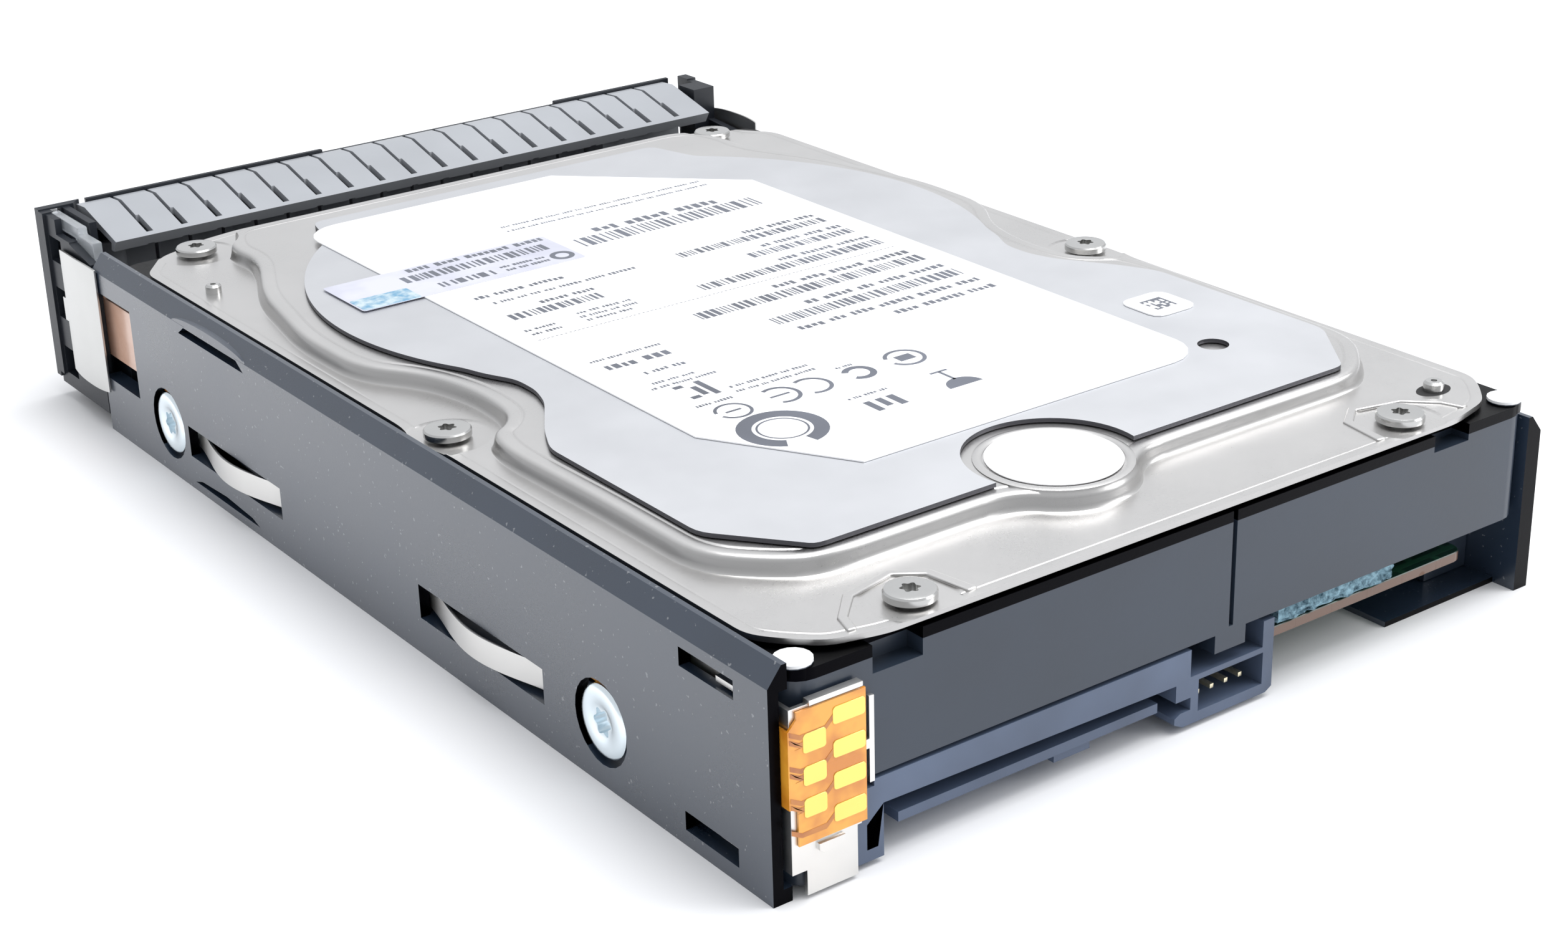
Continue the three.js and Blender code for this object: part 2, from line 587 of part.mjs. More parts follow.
function actuatorLatch() {
  const low = COIL_Z;
  const high = COIL_Z + COIL_T;
  const [x, y] = latchPin;
  const hub = rod(2.6, latchPin, low, high, 'z', 20);
  const arm = slab([[x - 1.2, y + 1], [x - 3.4, y + 6.4], [x - 1.6, y + 7], [x + 1.2, y + 1]], low, high);
  const tail = slab([[x + 0.8, y - 1.2], [x + 5.5, y - 2.4], [x + 5.5, y - 0.4], [x + 0.8, y + 1.2]],
    low, high);
  return cut(join(hub, arm, tail), rod(1.2 + RUN, latchPin, low - 1, high + 1, 'z', 16));
}

addNode('load_ramp', loadRamp(), finishes.label);
addNode('actuator_latch', actuatorLatch(), finishes.blackPlastic);
addNode('recirculation_filter', slab([[HALF_W - 15.3, -37], [HALF_W - 12.8, -39],
  [HALF_W - 8.8, -27], [HALF_W - 11.3, -26]], DECK_TOP + SEAT, STACK_TOP), finishes.filter);
addNode('breather_filter', slab(roundedRect(22, 37, -22, -10, 2, 3), DECK_TOP + SEAT, DECK_TOP + 7),
  finishes.filter);
const ribbonFar = [[6.8, 10], [12.5, 14.5], [18, 16.3], [23, 14.5], [24, 10.5]];
const ribbonPath = [
  ...arc(PIVOT, HUB_R + 0.6, 38, 62, 3), ...ribbonFar.map(([x, y]) => [PIVOT[0] + x, PIVOT[1] + y]),
];
const plug = box(PIVOT[0] + 23.6, PIVOT[0] + 29, PIVOT[1] + 5.5, PIVOT[1] + 11.5, DECK_TOP + SEAT,
  DECK_TOP + 3);
addNode('head_ribbon', join(ribbon(ribbonPath, 0.3, DECK_TOP + 2.5, DECK_TOP + 9), plug),
  finishes.polyimide);

// ---------------------------------------------------------------- circuit board and connector

const BOARD_LOW = 5.2;
const BOARD_T = 1.2;
const BOARD_REAR = -1.2;

function circuitBoard() {
  const half = boardBay.half - GAP - 0.4;
  const board = slab(roundedRect(-half, half, boardBay.front + GAP + 0.4, BOARD_REAR, 1.5, 3),
    BOARD_LOW, BOARD_LOW + BOARD_T);
  return cut(board,
    rod(14 + 2 * GAP, SPINDLE, 0, DECK_LOW),
    box(connectorNotch.left - GAP, connectorNotch.right + 1, -connectorNotch.depth, 1, 0, DECK_LOW));
}

// Plug with a tongue for the data and power contacts, and a small pin box beside it.
function driveConnector() {
  const depth = connectorNotch.depth - GAP;
  const outline = [
    [43.3, -0.1], [43.3, 7.8], [41.3, 7.8], [41.3, 8.5], [0.3, 8.5], [0.3, 5.4], [-10.1, 5.4],
    [-10.1, 8.4], [-11.7, 8.4], [-11.7, 0.4], [-10.8, -0.1], [1.2, -0.1], [2.4, 0.5], [2.4, 1.2], [1.6, 1.6],
    [0.2, 1.6], [0.2, 3], [2.3, 3], [2.3, 5], [40.2, 5.6], [40.2, -0.1],
  ];
  const body = rearSlab(outline, -depth, 0);
  const backWall = box(0.4, 41, -depth, -depth + 1.5, 0.6, 6);
  const tongue = box(4.3, 38, -depth, -0.6, 2.4, 3.5);
  const key = box(13, 17.8, -depth, -1.2, 1.2, 2.6);
  const legHole = box(40.9, 42.2, -6, 1, 1.2, 3.9);
  const pinBox = box(-10.2, -0.9, -6.5, 1, 1.1, 4.75);
  const pins = Array.from({ length: 4 }, (_, i) => box(-8.4 + i * 2.05, -7.9 + i * 2.05, -6.6, -1.2,
    2.2, 2.7));
  return join(cut(join(body, backWall), legHole, pinBox), tongue, key, ...pins);
}

addNode('circuit_board', circuitBoard(), finishes.board);
addNode('drive_connector', driveConnector(), finishes.bluePlastic);
addNode('foam_pad', box(-31, connectorNotch.left - 0.6, -10, -0.5, BOARD_LOW + BOARD_T + SEAT,
  DECK_LOW - SEAT), finishes.foam);

// ---------------------------------------------------------------- carrier rails

const springWindows = [
  { front: FRONT + 22.9, rear: FRONT + 48.5 },
  { front: -65, rear: -39.3 },
];
const WINDOW_LOW = 3.8;
const WINDOW_HIGH = 7.9;
const GROOVE_LOW = 9;
const GROOVE_HIGH = 18.2;
const sideScrewRows = [-SIDE_SCREW_REAR, FRONT + SIDE_SCREW_FRONT];

function spanX(side, inner, outer) {
  return side > 0 ? [inner, outer] : [-outer, -inner];
}

function sideBox(side, inner, outer, y0, y1, z0, z1) {
  return box(...spanX(side, inner, outer), y0, y1, z0, z1);
}

// A slot with an arched upper edge, cut through the rail's wall.
function archSlot(side, low, rise) {
  const from = FRONT + 23.4;
  const to = FRONT + 41.6;
  const middle = (from + to) / 2;
  const points = [
    [from, low], [to, low], [to - 2, low + rise], [middle, low + rise + 0.4], [from + 2, low + rise],
  ];
  return sideSlab(points, ...spanX(side, RAIL_IN - 1, RAIL_OUT + 1));
}

function rail(side, top) {
  const outline = [
    [side * RAIL_IN, RAIL_LOW], [side * RAIL_OUT, RAIL_LOW], [side * RAIL_OUT, top - RAIL_BEVEL_DROP],
    [side * (RAIL_OUT - RAIL_BEVEL_IN), top], [side * RAIL_IN, top],
  ];
  const wall = rearSlab(side > 0 ? outline : outline.reverse(), RAIL_FRONT, 0);
  const rearFoot = side > 0 ? [HALF_W - 29.5, -30, -12] : [HALF_W - 18, -30, -3];
  const feet = [rearFoot, [HALF_W - 29.5, FRONT + 4, FRONT + 16]].map(([inner, y0, y1]) => (
    sideBox(side, inner, RAIL_IN + 0.5, y0, y1, RAIL_LOW, -SEAT)));
  let body = join(wall, ...feet);
  for (const row of sideScrewRows) {
    const through = [side * (RAIL_IN - 1), side * (RAIL_OUT + 1)].sort((a, b) => a - b);
    const recess = [side * (RAIL_OUT - 1.3), side * (RAIL_OUT + 1)].sort((a, b) => a - b);
    body = cut(body, rod(SIDE_SCREW_SHANK_R + GAP, [row, SIDE_SCREW_Z], ...through, 'x', 12),
      rod(SIDE_SCREW_HEAD_R + 0.7, [row, SIDE_SCREW_Z], ...recess, 'x', 24));
  }
  for (const { front, rear } of springWindows) {
    body = cut(body, sideBox(side, RAIL_IN - 1, RAIL_OUT + 1, front, rear, WINDOW_LOW, WINDOW_HIGH),
      sideBox(side, RAIL_IN - 1, RAIL_IN + GROOVE_DEPTH, front - 4, rear + 4, WINDOW_LOW, WINDOW_HIGH));
  }
  body = cut(body,
    archSlot(side, top - 3.3, 1.3),
    archSlot(side, 0.4, 0.6),
    sideBox(side, RAIL_IN + 0.6, RAIL_OUT + 1, -14, -5.3, top - 5.2, top - 3.2),
    sideBox(side, RAIL_IN + 0.6, RAIL_OUT + 1, -14, -5.3, 1, 3.1));
  if (side > 0) {
    body = cut(body,
      sideBox(side, RAIL_IN - 1, RAIL_IN + GROOVE_DEPTH, RAIL_FRONT - 1, 1, GROOVE_LOW, GROOVE_HIGH),
      sideBox(side, RAIL_IN - 1, RAIL_IN + GROOVE_DEPTH, -15, 1, 0.8, 21.2),
      sideBox(side, RAIL_IN - 1, RAIL_OUT + 1, RAIL_FRONT - 1, FRONT + 8, 7, 19));
  }
  return body;
}

function sideSpring(side, { front, rear }) {
  const foot = RAIL_IN + 0.35;
  const crest = RAIL_OUT + 0.75;
  const length = rear - front + 6;
  const bow = Array.from({ length: 9 }, (_, i) => {
    const t = i / 8;
    const lift = Math.sin(Math.PI * t) ** 2;
    return [side * (foot + (crest - foot) * lift), front - 3 + length * t];
  });
  return ribbon(bow, SPRING_T, WINDOW_LOW + 0.5, WINDOW_HIGH - 0.5);
}

function sideScrew(side) {
  const head = [side * (RAIL_OUT - 1.2), side * (RAIL_OUT - 0.05)].sort((a, b) => a - b);
  const shank = [side * (HALF_W - SIDE_SCREW_GRIP), side * (RAIL_OUT - 1)].sort((a, b) => a - b);
  const socket = [side * (RAIL_OUT - 0.7), side * (RAIL_OUT + 1)].sort((a, b) => a - b);
  return cut(join(rod(SIDE_SCREW_HEAD_R, [0, 0], ...head, 'x', 16),
    rod(SIDE_SCREW_SHANK_R, [0, 0], ...shank, 'x', 8)), rod(1.5, [0, 0], ...socket, 'x', 6));
}

addNode('left_rail', rail(-1, LEFT_RAIL_TOP), finishes.railPaint);
addNode('right_rail', rail(1, RAIL_TOP), finishes.railPaint);
[-1, 1].forEach((side, half) => {
  const screwSolid = sideScrew(side);
  springWindows.forEach((window, i) => {
    const number = 2 * half + i + 1;
    addNode(`side_spring_${number}`, sideSpring(side, window), finishes.springSteel);
    const screw = addNode(`carrier_screw_${number}`, screwSolid, finishes.zinc);
    screw.position.set(0, sideScrewRows[i], SIDE_SCREW_Z);
  });
});

// ---------------------------------------------------------------- rear contacts and signal flex

function contactBracket() {
  const y0 = REAR_PLATE;
  const y1 = REAR_PLATE + BRACKET_T;
  const corner = RAIL_IN + GAP + 0.25;
  const plate = rearSlab([[43.4, 20], [43.4, 5], [43.9, 5], [43.9, -0.3], [49.8, -0.3], [49.8, 2.4],
    [corner, 2.4], [corner, 19.5], [49.5, 19.5], [49.5, 20]], y0, y1);
  const flange = box(corner - 0.5, corner, -14.5, y1, 2.4, 19.5);
  const upperTab = box(corner - 0.5, RAIL_OUT - 0.6, -8.9, -5.6, 18.9, 19.5);
  const lowerTab = box(corner - 0.5, RAIL_OUT - 0.6, -8.9, -5.6, 2.4, 2.9);
  const fold = box(43.4, 49.5, y1 - 0.2, REAR, 19.5, 20);
  const leaf = box(41.8, 42.4, y0, y1, 8.9, 17.9);
  const leafTie = box(42, 43.6, y0, y1, 12.5, 13.5);
  return join(plate, flange, upperTab, lowerTab, fold, leaf, leafTie);
}

const padColumns = [
  { from: 43.1, to: 46.8, rows: [17.5, 14.05, 10.75, 7.4], height: 1.8 },
  { from: 47.6, to: 50.2, rows: [15.8, 12.45, 9.15], height: 2 },
];

function signalFlex() {
  const low = GROOVE_LOW + 0.5;
  const high = GROOVE_HIGH - 0.7;
  const y0 = FLEX_REAR;
  const y1 = FLEX_REAR + FLEX_T;
  const bendX = FLEX_X + FLEX_T;
  const face = rearSlab([[43, 19.2], [43, 5.4], [bendX - 1, 5.4], [bendX - 1, low], [bendX, low],
    [bendX, high], [bendX - 1, high + 1], [bendX - 1, 19.2]], y0, y1);
  const run = box(FLEX_X, bendX, BEZEL_BACK - 5, y1, low, high);
  const front = box(FLEX_X, bendX, BEZEL_BACK - 5, BEZEL_BACK - SEAT, low, 20.6);
  const pads = padColumns.flatMap(({ from, to, rows, height }) => rows.map((z) => (
    box(from, to, y1 - 0.1, y1 + PAD_T, z - height / 2, z + height / 2)
  )));
  return join(face, run, front, ...pads);
}

addNode('contact_bracket', contactBracket(), finishes.springSteel);
addNode('signal_flex', signalFlex(), finishes.polyimide);

// ---------------------------------------------------------------- bezel frame

const cheekIn = RAIL_OUT - CHEEK_T;
const postIn = HALF_W - 1.6; // inner wall beside the hinge, and the post at the far end
const windowRows = [[3.3, 7.2], [11.5, 15.8], [19.6, 23.1]];
const guardBack = BEZEL_FRONT + 9.4;
const farPostBack = BEZEL_FRONT + 7.5;
const earHigh = 22.6;
const earLow = 21.4;
const EAR_R = 1.9;

function bezelFrame() {
  const foot = [[BEZEL_FRONT, 3], [BEZEL_FRONT + 1.6, BEZEL_LOW], [BEZEL_BACK, BEZEL_LOW]];
  const topEdge = {
    right: [[BEZEL_BACK, 22.3], [guardBack, 23.6], [guardBack, BEZEL_TOP - 0.4]],
    left: [[BEZEL_BACK, LEFT_RAIL_TOP - 0.3], [farPostBack, LEFT_RAIL_TOP + 0.4],
      [farPostBack, BEZEL_TOP - 0.4]],
  };
  const cheeks = [-1, 1].map((side) => {
    const outline = [...foot, ...topEdge[side > 0 ? 'right' : 'left'], [BEZEL_FRONT, BEZEL_TOP - 0.4]];
    const wall = sideSlab(outline, ...spanX(side, cheekIn, RAIL_OUT));
    const lip = sideBox(side, cheekIn, RAIL_OUT + 0.45, PLATE_FRONT, BEZEL_FRONT + 1.9, 3,
      BEZEL_TOP - 0.2);
    const windows = windowRows.map(([z0, z1]) => sideBox(side, cheekIn - 1, RAIL_OUT + 1,
      BEZEL_FRONT + 2.1, BEZEL_FRONT + 6.1, z0, z1));
    return cut(join(wall, lip), ...windows);
  });
  const floor = box(-RAIL_OUT, RAIL_OUT, BEZEL_FRONT, BEZEL_BACK, BEZEL_LOW, BEZEL_LOW + 1.7);
  const tongues = [-1, 1].map((side) => sideBox(side, HALF_W - 2.2, HALF_W - 0.2, BEZEL_BACK - 6,
    FRONT - 0.6, 4, 20));
  const bridges = [-1, 1].map((side) => sideBox(side, HALF_W - 2.2, side > 0 ? FLEX_X - GAP : RAIL_OUT - 0.5,
    BEZEL_BACK - 6, BEZEL_BACK - 3, BEZEL_LOW, 20));
  const innerWall = box(postIn, postIn + 1, BEZEL_FRONT + 0.2, guardBack + 0.4, BEZEL_LOW, BEZEL_TOP - 0.3);
  const corner = box(HINGE[0] + 1.8, RAIL_OUT + 0.45, PLATE_FRONT, BEZEL_FRONT + 0.6, BEZEL_LOW + 1,
    BEZEL_TOP);
  const ear = join(rod(EAR_R, HINGE, earLow, earHigh, 'z', 20),
    box(HINGE[0], postIn + 0.5, HINGE[1] - 0.6, HINGE[1] + 1.6, earLow, earHigh));
  const farPost = box(-cheekIn, -postIn - 0.2, BEZEL_FRONT + 3.4, farPostBack, BEZEL_LOW,
    BEZEL_TOP - 0.4);
  const body = join(floor, ...cheeks, ...tongues, ...bridges, innerWall, corner, farPost);
  const cleared = cut(body,
    rod(SWEEP_R, HINGE, BEZEL_LOW + 1.7, BEZEL_TOP + 1, 'z', 40),
    box(cheekIn - 1, RAIL_OUT + 1, BEZEL_FRONT + 5, guardBack + 1, 23.8, BEZEL_TOP + 1),
    box(postIn + 1.3, cheekIn + 0.2, PLATE_FRONT - 1, BEZEL_FRONT + 8, 23.6, 26));
  return cut(join(cleared, ear), rod(PIN_R + RUN, HINGE, BEZEL_LOW - 1, earHigh + 1, 'z', 20));
}

function lightPipe() {
  const x0 = postIn + 1.35;
  const x1 = cheekIn - SEAT;
  const bar = box(x0, x1, PLATE_FRONT, BEZEL_FRONT + 9.8, 23.9, 25.6);
  const step = box(x0, x1, BEZEL_FRONT + 8.6, BEZEL_BACK - 1.5, 21.6, 24.6);
  return join(bar, step);
}

function groundClip(side) {
  const crest = RAIL_OUT + 0.8;
  const bow = [
    [RAIL_OUT + 0.3, BEZEL_FRONT + 6.5], [RAIL_OUT + 0.62, BEZEL_FRONT + 9], [crest, BEZEL_FRONT + 12.4],
    [RAIL_OUT + 0.62, BEZEL_FRONT + 15.6], [RAIL_OUT + 0.3, BEZEL_FRONT + 18.1],
  ];
  const strip = ribbon(bow.map(([x, y]) => [side * x, y]), 0.3, 4.8, 22.5);
  const hook = sideBox(side, cheekIn + 0.3, RAIL_OUT + 0.3, BEZEL_FRONT + 5.6, BEZEL_FRONT + 6,
    12, 15.3);
  const tie = sideBox(side, RAIL_OUT + 0.15, RAIL_OUT + 0.45, BEZEL_FRONT + 5.6, BEZEL_FRONT + 6.7, 12, 15.3);
  return join(strip, hook, tie);
}

addNode('bezel_frame', bezelFrame(), finishes.blackPlastic);
addNode('light_pipe', lightPipe(), finishes.clear);
addNode('ground_clip_left', groundClip(-1), finishes.springSteel);
addNode('ground_clip_right', groundClip(1), finishes.springSteel);

// ---------------------------------------------------------------- ejector lever and its latch button

const leverRight = HINGE[0] + 2.5;
const leverLeft = -(HALF_W - 2.3);
const beamBack = BEZEL_FRONT + 12.8;
const button = {
  left: leverLeft + 3,
  low: 8.2,
  travel: 1.8,
};
button.right = button.left + BUTTON_W;
button.high = button.low + BUTTON_H;

function leverBody() {
  const skin = [
    [BEZEL_FRONT + 0.1, LEVER_LOW], [BEZEL_FRONT + 0.1, 25.9], [BEZEL_FRONT + 3, 26.1],
    [beamBack, 23.6], [beamBack - 1, 22], [beamBack - 2, 22], [beamBack - 1.6, 23.1],
    [BEZEL_FRONT + 3, 24.9], [BEZEL_FRONT + 1.6, 24.5], [BEZEL_FRONT + 1.6, LEVER_LOW],
  ];
  const shell = sideSlab(skin, leverLeft, leverRight);
  const slots = [];
  for (let x = leverRight - RIB_PITCH + RIB_SLOT / 2; x > leverLeft + 2; x -= RIB_PITCH) {
    slots.push(box(x - RIB_SLOT, x, BEZEL_FRONT - 1, beamBack - 1.8, 6.5, 27),
      box(x - RIB_HOLE, x, beamBack - 5.4, beamBack - 0.9, 20, 27));
  }
  const sole = box(leverLeft, HINGE[0], BEZEL_FRONT + 0.1, BEZEL_FRONT + 6, LEVER_LOW, LEVER_LOW + 1.2);
  const barrel = rod(HINGE_R - 0.9, HINGE, LEVER_LOW, earLow - GAP, 'z', 32);
  const buttonHole = box(button.left - GAP, button.right + GAP, BEZEL_FRONT - 1, BEZEL_FRONT + 2.4,
    button.low - GAP, button.high + GAP);
  const collar = cut(
    box(button.left - 1.5, button.right + 1.5, BEZEL_FRONT + 0.2, BEZEL_FRONT + 6.4, button.low - 1.5,
      button.high + 1.5),
    box(button.left - GAP, button.right + GAP, BEZEL_FRONT - 1, BEZEL_FRONT + 5.2, button.low - GAP,
      button.high + GAP));
  const spring = rod(2.6, [(button.left + button.right) / 2, (button.low + button.high) / 2],
    BEZEL_FRONT + 5, BEZEL_FRONT + 7, 'y', 20);
  const open = cut(shell, ...slots, buttonHole);
  return cut(join(open, sole, barrel, collar),
    spring,
    rod(PIN_R + RUN, HINGE, 0, earLow + 1, 'z', 20),
    rod(EAR_R + GAP, HINGE, earLow - GAP, earHigh + GAP, 'z', 20),
    box(HINGE[0] - GAP, leverRight + 1, HINGE[1] - 3, HINGE[1] + 1.6 + GAP, earLow - GAP, earHigh + GAP));
}

// Front plate of the lever: a frame with upright openings between the bars.
function leverFaceplate() {
  const right = PARTING_X - 0.2;
  const left = leverLeft - 1.3;
  const plate = box(left, right, PLATE_FRONT, BEZEL_FRONT - 0.1, LEVER_LOW, BEZEL_TOP);
  const openings = [];
  const first = leverRight - RIB_PITCH * 1.5;
  for (let x = first; x > button.right + RIB_PITCH; x -= RIB_PITCH) {
    openings.push(box(x - 1.75, x + 1.75, PLATE_FRONT - 1, BEZEL_FRONT + 1, 7, 22.5));
  }
  const buttonHole = box(button.left - GAP, button.right + GAP, PLATE_FRONT - 1, BEZEL_FRONT + 1,
    button.low - GAP, button.high + GAP);
  const dip = box(left + PLATE_ENDS[0], right - PLATE_ENDS[1], PLATE_FRONT - 1, BEZEL_FRONT + 1,
    BEZEL_TOP - 0.5, BEZEL_TOP + 1);
  return cut(plate, ...openings, buttonHole, dip);
}

function releaseButton() {
  const x0 = button.left;
  const x1 = button.right;
  const cap = box(x0, x1, PLATE_FRONT, BEZEL_FRONT + 3, button.low, button.high);
  const finger = box(x0 + 3, x1 - 3, PLATE_FRONT - 1, PLATE_FRONT + 0.4, button.low + 2, button.high - 2);
  return cut(cap, finger);
}

// Return spring behind the button: a close-wound coil drawn as a plain sleeve.
function buttonSpring() {
  const middle = (button.left + button.right) / 2;
  const z = (button.low + button.high) / 2;
  return cut(rod(2.2, [middle, z], BEZEL_FRONT + 3.1, BEZEL_FRONT + 6.8, 'y', 16),
    rod(1.6, [middle, z], BEZEL_FRONT + 2, BEZEL_FRONT + 8, 'y', 16));
}

addNode('ejector_lever', leverBody(), finishes.ribGrey);
addNode('lever_faceplate', leverFaceplate(), finishes.blackPlastic);
addNode('lever_pin', rod(PIN_R, HINGE, BEZEL_LOW + 0.2, earHigh - 0.1, 'z', 20), finishes.springSteel);
addNode('release_button', releaseButton(), finishes.bluePlastic);
addNode('button_spring', buttonSpring(), finishes.springSteel);

// ---------------------------------------------------------------- place the assembly

assembly.position.set(0, -(REAR + PLATE_FRONT) / 2, -RAIL_LOW);

export default assembly;
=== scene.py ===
"""Looks for a 3.5 inch hard disk drive in its hot-plug carrier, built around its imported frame."""

import contextlib
import math
import random

import bmesh
import bpy
from mathutils import Euler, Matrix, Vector


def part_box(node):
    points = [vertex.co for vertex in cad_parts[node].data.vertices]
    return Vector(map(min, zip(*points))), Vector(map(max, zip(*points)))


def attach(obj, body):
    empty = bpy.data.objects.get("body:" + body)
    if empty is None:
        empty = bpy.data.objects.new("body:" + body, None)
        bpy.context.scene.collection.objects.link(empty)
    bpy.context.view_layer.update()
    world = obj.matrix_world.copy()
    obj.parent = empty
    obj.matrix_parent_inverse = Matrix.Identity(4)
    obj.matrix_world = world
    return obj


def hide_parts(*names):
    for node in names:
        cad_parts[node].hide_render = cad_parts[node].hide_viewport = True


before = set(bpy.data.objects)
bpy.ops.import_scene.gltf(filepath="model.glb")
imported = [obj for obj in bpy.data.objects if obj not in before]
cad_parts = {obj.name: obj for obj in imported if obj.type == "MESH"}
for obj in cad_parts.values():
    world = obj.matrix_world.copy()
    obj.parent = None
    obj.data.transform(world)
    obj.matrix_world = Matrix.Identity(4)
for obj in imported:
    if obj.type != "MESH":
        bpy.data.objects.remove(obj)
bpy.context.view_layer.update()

MM = 0.001

# The drive's own datum: the middle of its width, its rear face and its underside, in mm.
casting_low, casting_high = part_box("base_casting")
DATUM = Vector((0.0, casting_high.y, casting_low.z))
HALF_W = casting_high.x / MM
FRONT = (casting_low.y - casting_high.y) / MM


def extent(node):
    """Lowest and highest corners of a frame node from the drive's datum, in mm."""
    low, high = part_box(node)
    return (low - DATUM) / MM, (high - DATUM) / MM


def centre_of(node):
    low, high = extent(node)
    return (low + high) / 2


cover_low, cover_high = extent("top_cover")
damper_low, damper_high = extent("damper_plate")
label_low, label_high = extent("drive_label")
seal_low, seal_high = extent("round_seal")
RAIL_OUT = extent("right_rail")[1].x
SPINDLE = centre_of("platter_1").xy
SEAL = centre_of("round_seal").xy
SEAL_R = (seal_high.x - seal_low.x) / 2
PLATEAU_TOP = cover_high.z
SCREW_STANDS = 1.1  # a cover screw's head above the flange
FLANGE_TOP = extent("cover_screw_3")[1].z - SCREW_STANDS
FLANGE_LOW = cover_low.z
DAMPER_TOP = damper_high.z
LABEL_TOP = label_high.z


# ---------------------------------------------------------------- modelling tools

def at(x, y, z):
    """A point in the frame, from mm in the drive's datum."""
    return DATUM + Vector((x, y, z)) * MM


def pick(*pieces):
    """Selects these pieces and nothing else."""
    bpy.ops.object.select_all(action="DESELECT")
    for piece in pieces:
        piece.select_set(True)
    bpy.context.view_layer.objects.active = pieces[0]


@contextlib.contextmanager
def shaping(piece):
    """Edit mode on one piece."""
    pick(piece)
    bpy.ops.object.mode_set(mode="EDIT")
    bpy.ops.mesh.select_mode(type="FACE")
    yield
    bpy.ops.object.mode_set(mode="OBJECT")


def choose(piece, kind, test):
    """Selects the faces, edges or vertices that pass a test."""
    bpy.ops.mesh.select_all(action="DESELECT")
    mesh = bmesh.from_edit_mesh(piece.data)
    for part in getattr(mesh, kind):
        if test(part):
            part.select_set(True)
    bmesh.update_edit_mesh(piece.data)


def prism(name, corners, sweep):
    """A flat outline, swept along a vector in mm."""
    bpy.ops.object.select_all(action="DESELECT")
    bpy.ops.mesh.primitive_circle_add(vertices=len(corners), radius=1.0, fill_type="NGON")
    piece = bpy.context.object
    piece.name = name
    for vertex, corner in zip(piece.data.vertices, corners):
        vertex.co = corner
    with shaping(piece):
        bpy.ops.mesh.select_all(action="SELECT")
        bpy.ops.mesh.extrude_region_move(
            TRANSFORM_OT_translate={"value": Vector(sweep) * MM}
        )
        bpy.ops.mesh.select_all(action="SELECT")
        bpy.ops.mesh.normals_make_consistent(inside=False)
    return piece


def slab(name, points, low, high):
    """An outline in plan, from low to high."""
    return prism(name, [at(x, y, low) for x, y in points], (0, 0, high - low))


def side_slab(name, points, start, end):
    """An outline seen from the side (y, z), from start to end along x."""
    return prism(name, [at(start, y, z) for y, z in points], (end - start, 0, 0))


def block(name, x0, x1, y0, y1, z0, z1):
    return slab(name, [(x0, y0), (x1, y0), (x1, y1), (x0, y1)], z0, z1)


def rod(name, radius, centre, low, high, sides=48):
    """An upright round bar."""
    ring = [
        (centre[0] + radius * math.cos(a), centre[1] + radius * math.sin(a))
        for a in (math.tau * i / sides for i in range(sides))
    ]
    return slab(name, ring, low, high)


def turned(name, profile, sides=40):
    """A profile of (radius, height) in mm, spun about the z axis at the origin."""
    bpy.ops.object.select_all(action="DESELECT")
    bpy.ops.mesh.primitive_circle_add(vertices=len(profile), radius=1.0, fill_type="NOTHING")
    piece = bpy.context.object
    piece.name = name
    for vertex, (radius, height) in zip(piece.data.vertices, profile):
        vertex.co = Vector((radius, 0, height)) * MM
    with shaping(piece):
        bpy.ops.mesh.select_mode(type="EDGE")
        choose(piece, "edges", lambda edge: all(v.co.x < 1e-9 for v in edge.verts))
        bpy.ops.mesh.delete(type="EDGE")
        bpy.ops.mesh.select_all(action="SELECT")
        bpy.ops.mesh.spin(
            steps=sides, angle=math.tau, center=(0, 0, 0), axis=(0, 0, 1), use_auto_merge=True
        )
        bpy.ops.mesh.select_all(action="SELECT")
        bpy.ops.mesh.remove_doubles(threshold=1e-6)
        bpy.ops.mesh.normals_make_consistent(inside=False)
    return piece


def place(piece, spin=0, lay=0, to=(0, 0, 0)):
    """Sets down a piece made at the origin, in its mesh: spun about z, then laid over about y."""
    matrix = Euler((0, math.radians(lay), 0)).to_matrix().to_4x4()
    matrix @= Euler((0, 0, math.radians(spin))).to_matrix().to_4x4()
    matrix.translation = at(*to)
    piece.data.transform(matrix)
    return piece


def twin(piece, name):
    """A copy with its own mesh."""
    copy = piece.copy()
    copy.data = piece.data.copy()
    copy.name = name
    bpy.context.scene.collection.objects.link(copy)
    return copy


def apply(piece, kind, **settings):
    """Adds a modifier and applies it."""
    modifier = piece.modifiers.new(kind.title(), kind)
    for key, value in settings.items():
        setattr(modifier, key, value)
    pick(piece)
    bpy.ops.object.modifier_apply(modifier=modifier.name)
    return piece


def carve(piece, *tools, operation="DIFFERENCE"):
    """Cuts tools out of a piece, or adds them to it, and removes the tools."""
    for tool in tools:
        apply(piece, "BOOLEAN", operation=operation, object=tool, solver="EXACT")
        bpy.data.objects.remove(tool)
    return piece


def soften(piece, width, segments=2, angle=32):
    """Rounds the hard edges by a width in mm."""
    return apply(
        piece, "BEVEL", width=width * MM, segments=segments, limit_method="ANGLE",
        angle_limit=math.radians(angle), use_clamp_overlap=True, miter_outer="MITER_ARC",
    )


def gather(name, *pieces):
    """Joins pieces into one object."""
    pick(*pieces)
    bpy.ops.object.join()
    pieces[0].name = name
    return pieces[0]


def arc(centre, radius, start, end, steps):
    return [
        (
            centre[0] + radius * math.cos(math.radians(start + (end - start) * i / steps)),
            centre[1] + radius * math.sin(math.radians(start + (end - start) * i / steps)),
        )
        for i in range(steps + 1)
    ]


